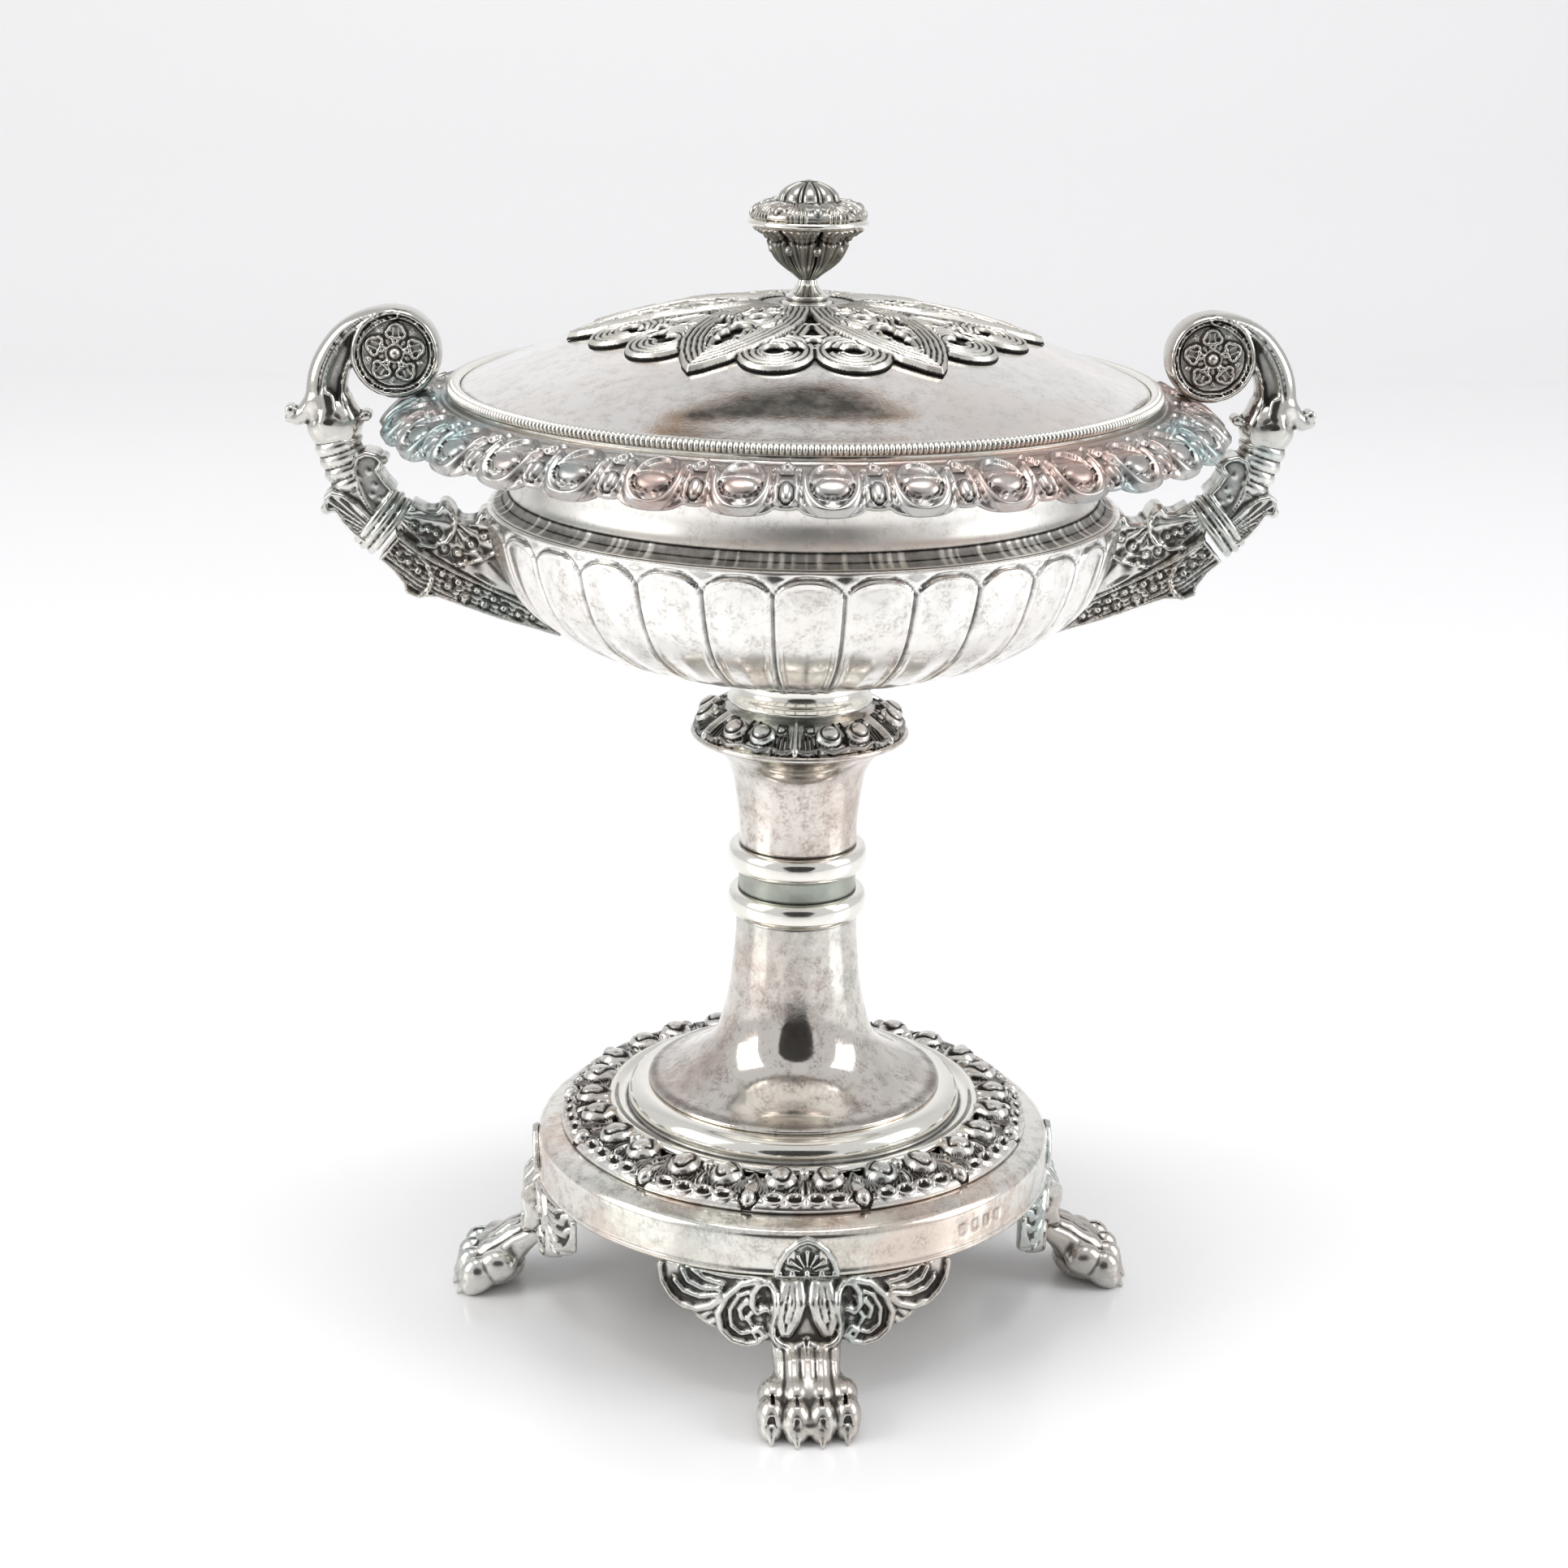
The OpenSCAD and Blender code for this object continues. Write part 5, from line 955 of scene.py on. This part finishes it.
# ----------------------------------------------------------------------------
# feet, drawn facing out on a grid of 6.1 units to the millimetre: x across, w out from the axis, z up
# ----------------------------------------------------------------------------
def FD(u, v):
    x = (u - 998) / 6.1; return (x, 27.5 - (v - 1580) * 0.1753 - (56 - math.sqrt(56 ** 2 - x * x)) * 0.33)
def FP(*pts): return [FD(*p) for p in pts]
WING = FP((998, 1572), (935, 1572), (880, 1566), (850, 1556), (818, 1548), (812, 1566), (816, 1588), (828, 1608), (846, 1621), (857, 1623), (863, 1634), (879, 1645), (889, 1647), (896, 1655), (908, 1664), (928, 1668),
          (945, 1664), (953, 1657), (966, 1662), (998, 1665))
WING = WING + [(-x, z) for x, z in WING[-2:0:-1]]
CURVES = [(0.93, 1.44, FP((893, 1604), (880, 1615), (862, 1620), (843, 1616), (829, 1603), (819, 1586), (816, 1568), (820, 1556), (832, 1554))),
          (0.85, 1.49, FP((942, 1580), (917, 1586), (899, 1603), (889, 1625), (893, 1645), (907, 1658), (926, 1663), (941, 1659), (947, 1649), (941, 1641), (933, 1646))),
          (0.60, 0.98, FP((935, 1593), (915, 1601), (904, 1620), (906, 1640), (918, 1650), (927, 1648))),
          (0.90, 1.78, FP((946, 1616), (938, 1621), (931, 1612), (932, 1597), (941, 1584), (952, 1582), (959, 1592), (959, 1612), (954, 1630), (956, 1645), (967, 1654), (982, 1657), (998, 1650))),
          (1.15, 1.32, FP((988, 1583), (991, 1602), (985, 1622), (975, 1640))), (1.02, 1.21, FP((972, 1584), (966, 1602), (964, 1622), (969, 1640))),
          (0.83, 1.03, FP((980, 1584), (979, 1604), (974, 1624))),
          (0.70, 1.15, FP((893, 1600), (866, 1604), (847, 1598), (836, 1585))), (0.70, 1.09, FP((892, 1593), (869, 1593), (852, 1585), (845, 1571))), (0.67, 0.98, FP((896, 1587), (873, 1581), (858, 1570))),
          (0.67, 1.03, FP((938, 1602), (925, 1607), (916, 1619), (919, 1631))), (0.64, 0.98, FP((943, 1613), (933, 1619), (926, 1630), (930, 1637))),
          (0.57, 0.69, FP((886, 1619), (872, 1630))), (0.57, 0.69, FP((888, 1630), (880, 1639))), (0.64, 0.92, FP((940, 1576), (905, 1577), (870, 1570), (835, 1559)))]
def foot_f(P):
    x, w, z = P.T; ax = np.abs(x); r = np.hypot(x, w)
    pw = poly_sd(x, z, WING)
    g = np.zeros(x.shape)
    for hw_, ht_, c_ in CURVES:
        q, _ = poly_d(-ax, z, c_); g = np.maximum(g, ht_ * ridge(q, hw_))
    cx, cz = FD(939, 1650); q = np.hypot(-ax - cx, z - cz); g = np.maximum(g, 1.5 * np.sqrt(np.clip(1 - (q / 1.3) ** 2, 0, 1))); g = np.where(q < 0.45, 0.6, g)
    g = np.where(ax < 0.28, np.minimum(g, 0.45), g)
    top = 55.15 + g * sst(0.15, -0.45, pw)
    bulge = 2.8 * sst(8.6, 6.2, ax) * sst(10.5, 13.0, z) * sst(28.2, 23, z)
    wing = smax(smax(r - top - bulge, 52.4 - r, 0.4), smax(pw, z - 27.95, 0.2), 0.5)
    # ankle with flutes
    dn, arc, a, b = along(w, z, [(65.5, 5.0, 4.6, 8.0), (63.0, 7.6, 4.3, 7.0), (60.4, 10.4, 3.7, 6.4), (56.4, 13.2, 2.3, 6.9), (54.6, 17.0, 1.2, 7.4), (53.9, 21.0, 0.9, 6.5), (53.7, 25.0, 0.8, 6.0)])
    fl = np.abs(np.cos(np.pi * x / 3.1)) ** 0.55
    ank = oval(dn, x, a, b, 2.2) - 0.75 * (fl - 0.65) * sst(5.5, 8.0, z)
    paw = np.full(x.shape, 9.0)
    for k in (-1.5, -0.5, 0.5, 1.5):
        k1 = abs(k)
        e1 = np.sqrt(((x - 4.75 * k) / 3.0) ** 2 + ((w - 66.0 + 0.9 * k1) / 4.2) ** 2 + ((z - 7.3 + 0.4 * k1) / 3.6) ** 2)
        e2 = np.sqrt(((x - 5.05 * k) / 2.95) ** 2 + ((w - 70.9 + 1.2 * k1) / 3.7) ** 2 + ((z - 4.5) / 4.2) ** 2)
        e3 = np.sqrt(((x - 5.05 * k) / 2.5) ** 2 + ((w - 72.2 + 1.3 * k1) / 2.7) ** 2 + ((z - 2.4) / 2.6) ** 2)
        toe = smin(smin((e1 - 1) * 3.0, (e2 - 1) * 2.95, 0.3), (e3 - 1) * 2.5, 0.5)
        px, pw_, pz = x - 5.05 * k, w - (73.4 - 1.25 * k1), z - 2.9; h_ = np.clip((pw_ * 1.9 + pz * -2.6) / (1.9 ** 2 + 2.6 ** 2), 0, 1)
        nail = np.sqrt(px ** 2 + (pw_ - 1.9 * h_) ** 2 + (pz + 2.6 * h_) ** 2) - (1.5 - 1.15 * h_)
        tri = np.abs(x - 5.05 * k) - (0.35 + 0.28 * np.clip(6.4 - z, 0, 4))
        hole = np.maximum(np.maximum(tri, np.abs(z - 4.7) - 1.3), np.abs(w - 75.4 + 1.2 * k1) - 1.9)
        tri2 = np.abs(x - 4.85 * k) - (0.15 + 0.25 * np.clip(8.8 - z, 0, 4))
        hole2 = np.maximum(np.maximum(tri2, np.abs(z - 7.8) - 0.8), np.abs(w - 70.6 + 1.0 * k1) - 1.6)
        toe = smax(toe, -hole, 0.35); toe = smax(toe, -hole2, 0.35)
        paw = smin(paw, np.minimum(toe, nail), 0.12)
    pad = (np.sqrt((x / 9.0) ** 2 + ((w - 66.4) / 7.6) ** 2 + ((z - 3.9) / 3.9) ** 2) - 1) * 3.9
    d = smin(smin(paw, pad, 0.5), ank, 0.7); d = smin(d, wing, 0.6)
    return np.maximum(d, 0.02 - z)

PAL = [(-7.0, 28.1), (-6.9, 29.6), (-6.2, 32.0), (-4.6, 34.6), (-2.3, 36.6), (0, 37.5), (2.3, 36.6), (4.6, 34.6), (6.2, 32.0), (6.9, 29.6), (7.0, 28.1)]
PIN = [(-5.1, 28.9), (-4.9, 30.4), (-4.1, 32.3), (-2.6, 34.0), (0, 35.0), (2.6, 34.0), (4.1, 32.3), (4.9, 30.4), (5.1, 28.9)]
def pal_f(P):
    x, w, z = P.T; r = np.hypot(x, w); po = poly_sd(x, z, PAL); pi_ = poly_sd(x, z, PIN); ax = np.abs(x)
    g = 0.25 + 1.0 * ridge(po + 0.85, 0.75)
    g = np.where(pi_ < 0, 0.12, g)
    for (x0, z0, x1, z1, r0, r1) in ((0, 30.6, 0, 33.9, 0.15, 0.62), (0.5, 30.5, 1.9, 33.0, 0.12, 0.5), (1.0, 30.3, 3.3, 31.6, 0.12, 0.5), (1.5, 29.8, 4.2, 30.2, 0.12, 0.42)):
        q, h_ = seg2(ax, z, x0, z0, x1, z1); g = np.maximum(g, 1.0 * ridge(q, r0 + (r1 - r0) * h_ + 0.05))
    for cx, cz, rr in ((0, 29.3, 0.75), (3.0, 29.1, 0.8)):
        q = np.hypot(ax - cx, z - cz); g = np.maximum(g, 1.15 * np.sqrt(np.clip(1 - (q / rr) ** 2, 0, 1)))
    top = 55.68 + g * sst(0.05, -0.4, po)
    return smax(smax(r - top, 55.66 - r, 0.05), po, 0.3)

def around(tag, V, Q, c, mat, slot):
    for name, a in (("front", -90), ("right", 0), ("back", 90), ("left", 180)):
        t = math.radians(a); W = np.stack([V[:, 1] * math.cos(t) - V[:, 0] * math.sin(t), V[:, 1] * math.sin(t) + V[:, 0] * math.cos(t), V[:, 2]], -1)
        add_mesh("v_%s_%s" % (tag, name), W, Q[:, ::-1], cav=c, mat=mat, replaces=["%s_%s" % (tag, name)], slot=slot, dz=0.0)
F, lo_ = field(foot_f, (-30.5, 47, -0.6), (30.5, 78, 29.2), 0.36); V, Q = nets(F, lo_, 0.36)
V = averaged(V, neighbours(Q), 1, 0.55); V[:, 2] = np.maximum(V[:, 2], 0.0)
# the cavity value darkens the hollows, oxide together with painted shade
around("foot", V, Q, cavity(V, Q, 6), M_CAST, "cast_silver")
F, lo_ = field(pal_f, (-7.8, 54.2, 27.2), (7.8, 57.8, 38.4), 0.22); V, Q = nets(F, lo_, 0.22)
V = averaged(V, neighbours(Q), 1, 0.5)
# the cavity value darkens the hollows, oxide together with painted shade
around("palmette", V, Q, cavity(V, Q, 5, 4.0), M_CAST, "bright_silver")

# ----------------------------------------------------------------------------
# stage, lights, camera
# ----------------------------------------------------------------------------

def stage_mat(name, col, rough):
    m = bpy.data.materials.new(name); m.use_nodes = True
    b = m.node_tree.nodes["Principled BSDF"]
    b.inputs["Base Color"].default_value = (*col, 1); b.inputs["Roughness"].default_value = rough
    b.inputs["Specular IOR Level"].default_value = 0.5
    return m

# a floor that sweeps up into a backdrop; in front of the object the room is dark
half = 2.4
ys = np.r_[np.linspace(-0.95, 1.25, 12), 1.25 + 0.45 * np.sin(np.linspace(0, np.pi / 2, 16))[1:], np.full(6, 1.70)]
zs = np.r_[np.zeros(12), 0.45 * (1 - np.cos(np.linspace(0, np.pi / 2, 16)))[1:], np.linspace(0.45, 2.6, 7)[1:]]
xs = np.array([-half, half])
V = np.stack([np.broadcast_to(xs[:, None], (2, len(ys))), np.broadcast_to(ys, (2, len(ys))), np.broadcast_to(zs, (2, len(ys)))], -1).reshape(-1, 3)
me = bpy.data.meshes.new("floor"); me.from_pydata(V.tolist(), [], grid_faces(2, len(ys), False, False).tolist())
me.polygons.foreach_set("use_smooth", [True] * len(me.polygons)); me.update()
floor = bpy.data.objects.new("floor", me); bpy.context.scene.collection.objects.link(floor)
me.materials.append(stage_mat("floor_white", (0.90, 0.90, 0.905), 0.22))

def card(name, corners, col):
    me = bpy.data.meshes.new(name); me.from_pydata([tuple(c) for c in corners], [], [tuple(range(len(corners)))]); me.update()
    o = bpy.data.objects.new(name, me); bpy.context.scene.collection.objects.link(o)
    me.materials.append(stage_mat("card_" + name, col, 0.7)); o.visible_camera = False; return o

DK = (0.020, 0.018, 0.016)
card("front_wall", [(0.62 * math.cos(k), -1.25, 0.44 + 0.52 * math.sin(k)) for k in np.linspace(0, 2 * np.pi, 40, endpoint=False)], DK)
card("front_floor", [(-1.1, -1.25, -0.01), (1.1, -1.25, -0.01), (1.1, -0.94, -0.01), (-1.1, -0.94, -0.01)], DK)
def oval_card(a, b, y, z, n=40):
    t = np.linspace(0, 2 * np.pi, n, endpoint=False)
    return [(a * math.cos(k), y - 0.79 * b * math.sin(k), z + 0.62 * b * math.sin(k)) for k in t]
card("overhead", oval_card(0.175, 0.072, 0.582, 0.965), (0.04, 0.038, 0.032))
card("overhead_rim", oval_card(0.225, 0.095, 0.602, 0.988), (0.36, 0.25, 0.17))

def area(name, loc, target, size, energy, color=(1, 1, 1), size_y=None):
    l = bpy.data.lights.new(name, "AREA"); l.energy = energy; l.size = size; l.color = color
    if size_y: l.shape = "RECTANGLE"; l.size_y = size_y
    o = bpy.data.objects.new(name, l); bpy.context.scene.collection.objects.link(o)
    o.location = loc; d = Vector(target) - Vector(loc)
    o.rotation_euler = d.to_track_quat("-Z", "Y").to_euler(); return o

area("key_left", (-1.25, -0.35, 0.75), (0, 0, 0.13), 0.8, 9, (1, 0.985, 0.96), 1.1)
area("key_right", (1.25, -0.30, 0.70), (0, 0, 0.13), 0.7, 7.5, (0.98, 0.99, 1), 1.0)
area("top", (0, -0.15, 1.8), (0, 0.05, 0), 1.2, 11, size_y=0.7)
w = bpy.data.worlds.new("world"); bpy.context.scene.world = w; w.use_nodes = True
w.node_tree.nodes["Background"].inputs[0].default_value = (0.985, 0.985, 1.0, 1)
w.node_tree.nodes["Background"].inputs[1].default_value = 0.72

TURN = math.radians(3.5); CAM_D = 0.5628; CAM_H = 0.2912
PITCH = math.radians(17.41); YAW = math.radians(-0.313); ROLL = math.radians(0.90)
cam = bpy.data.cameras.new("camera"); co = bpy.data.objects.new("camera", cam)
bpy.context.scene.collection.objects.link(co)
cam.sensor_width = 36; cam.lens = 3441.0 / 1932 * 36; cam.clip_start = 0.01; cam.clip_end = 20
pos = Vector((0, -CAM_D, CAM_H)); fwd = Vector((math.sin(YAW) * math.cos(PITCH), math.cos(YAW) * math.cos(PITCH), -math.sin(PITCH)))
R = Matrix.Rotation(-TURN, 4, "Z")
q = (R.to_3x3() @ fwd).to_track_quat("-Z", "Y")
co.matrix_world = Matrix.Translation(R.to_3x3() @ pos) @ q.to_matrix().to_4x4() @ Matrix.Rotation(ROLL, 4, "Z")
bpy.context.scene.camera = co
bpy.context.scene.view_settings.view_transform = "Standard"
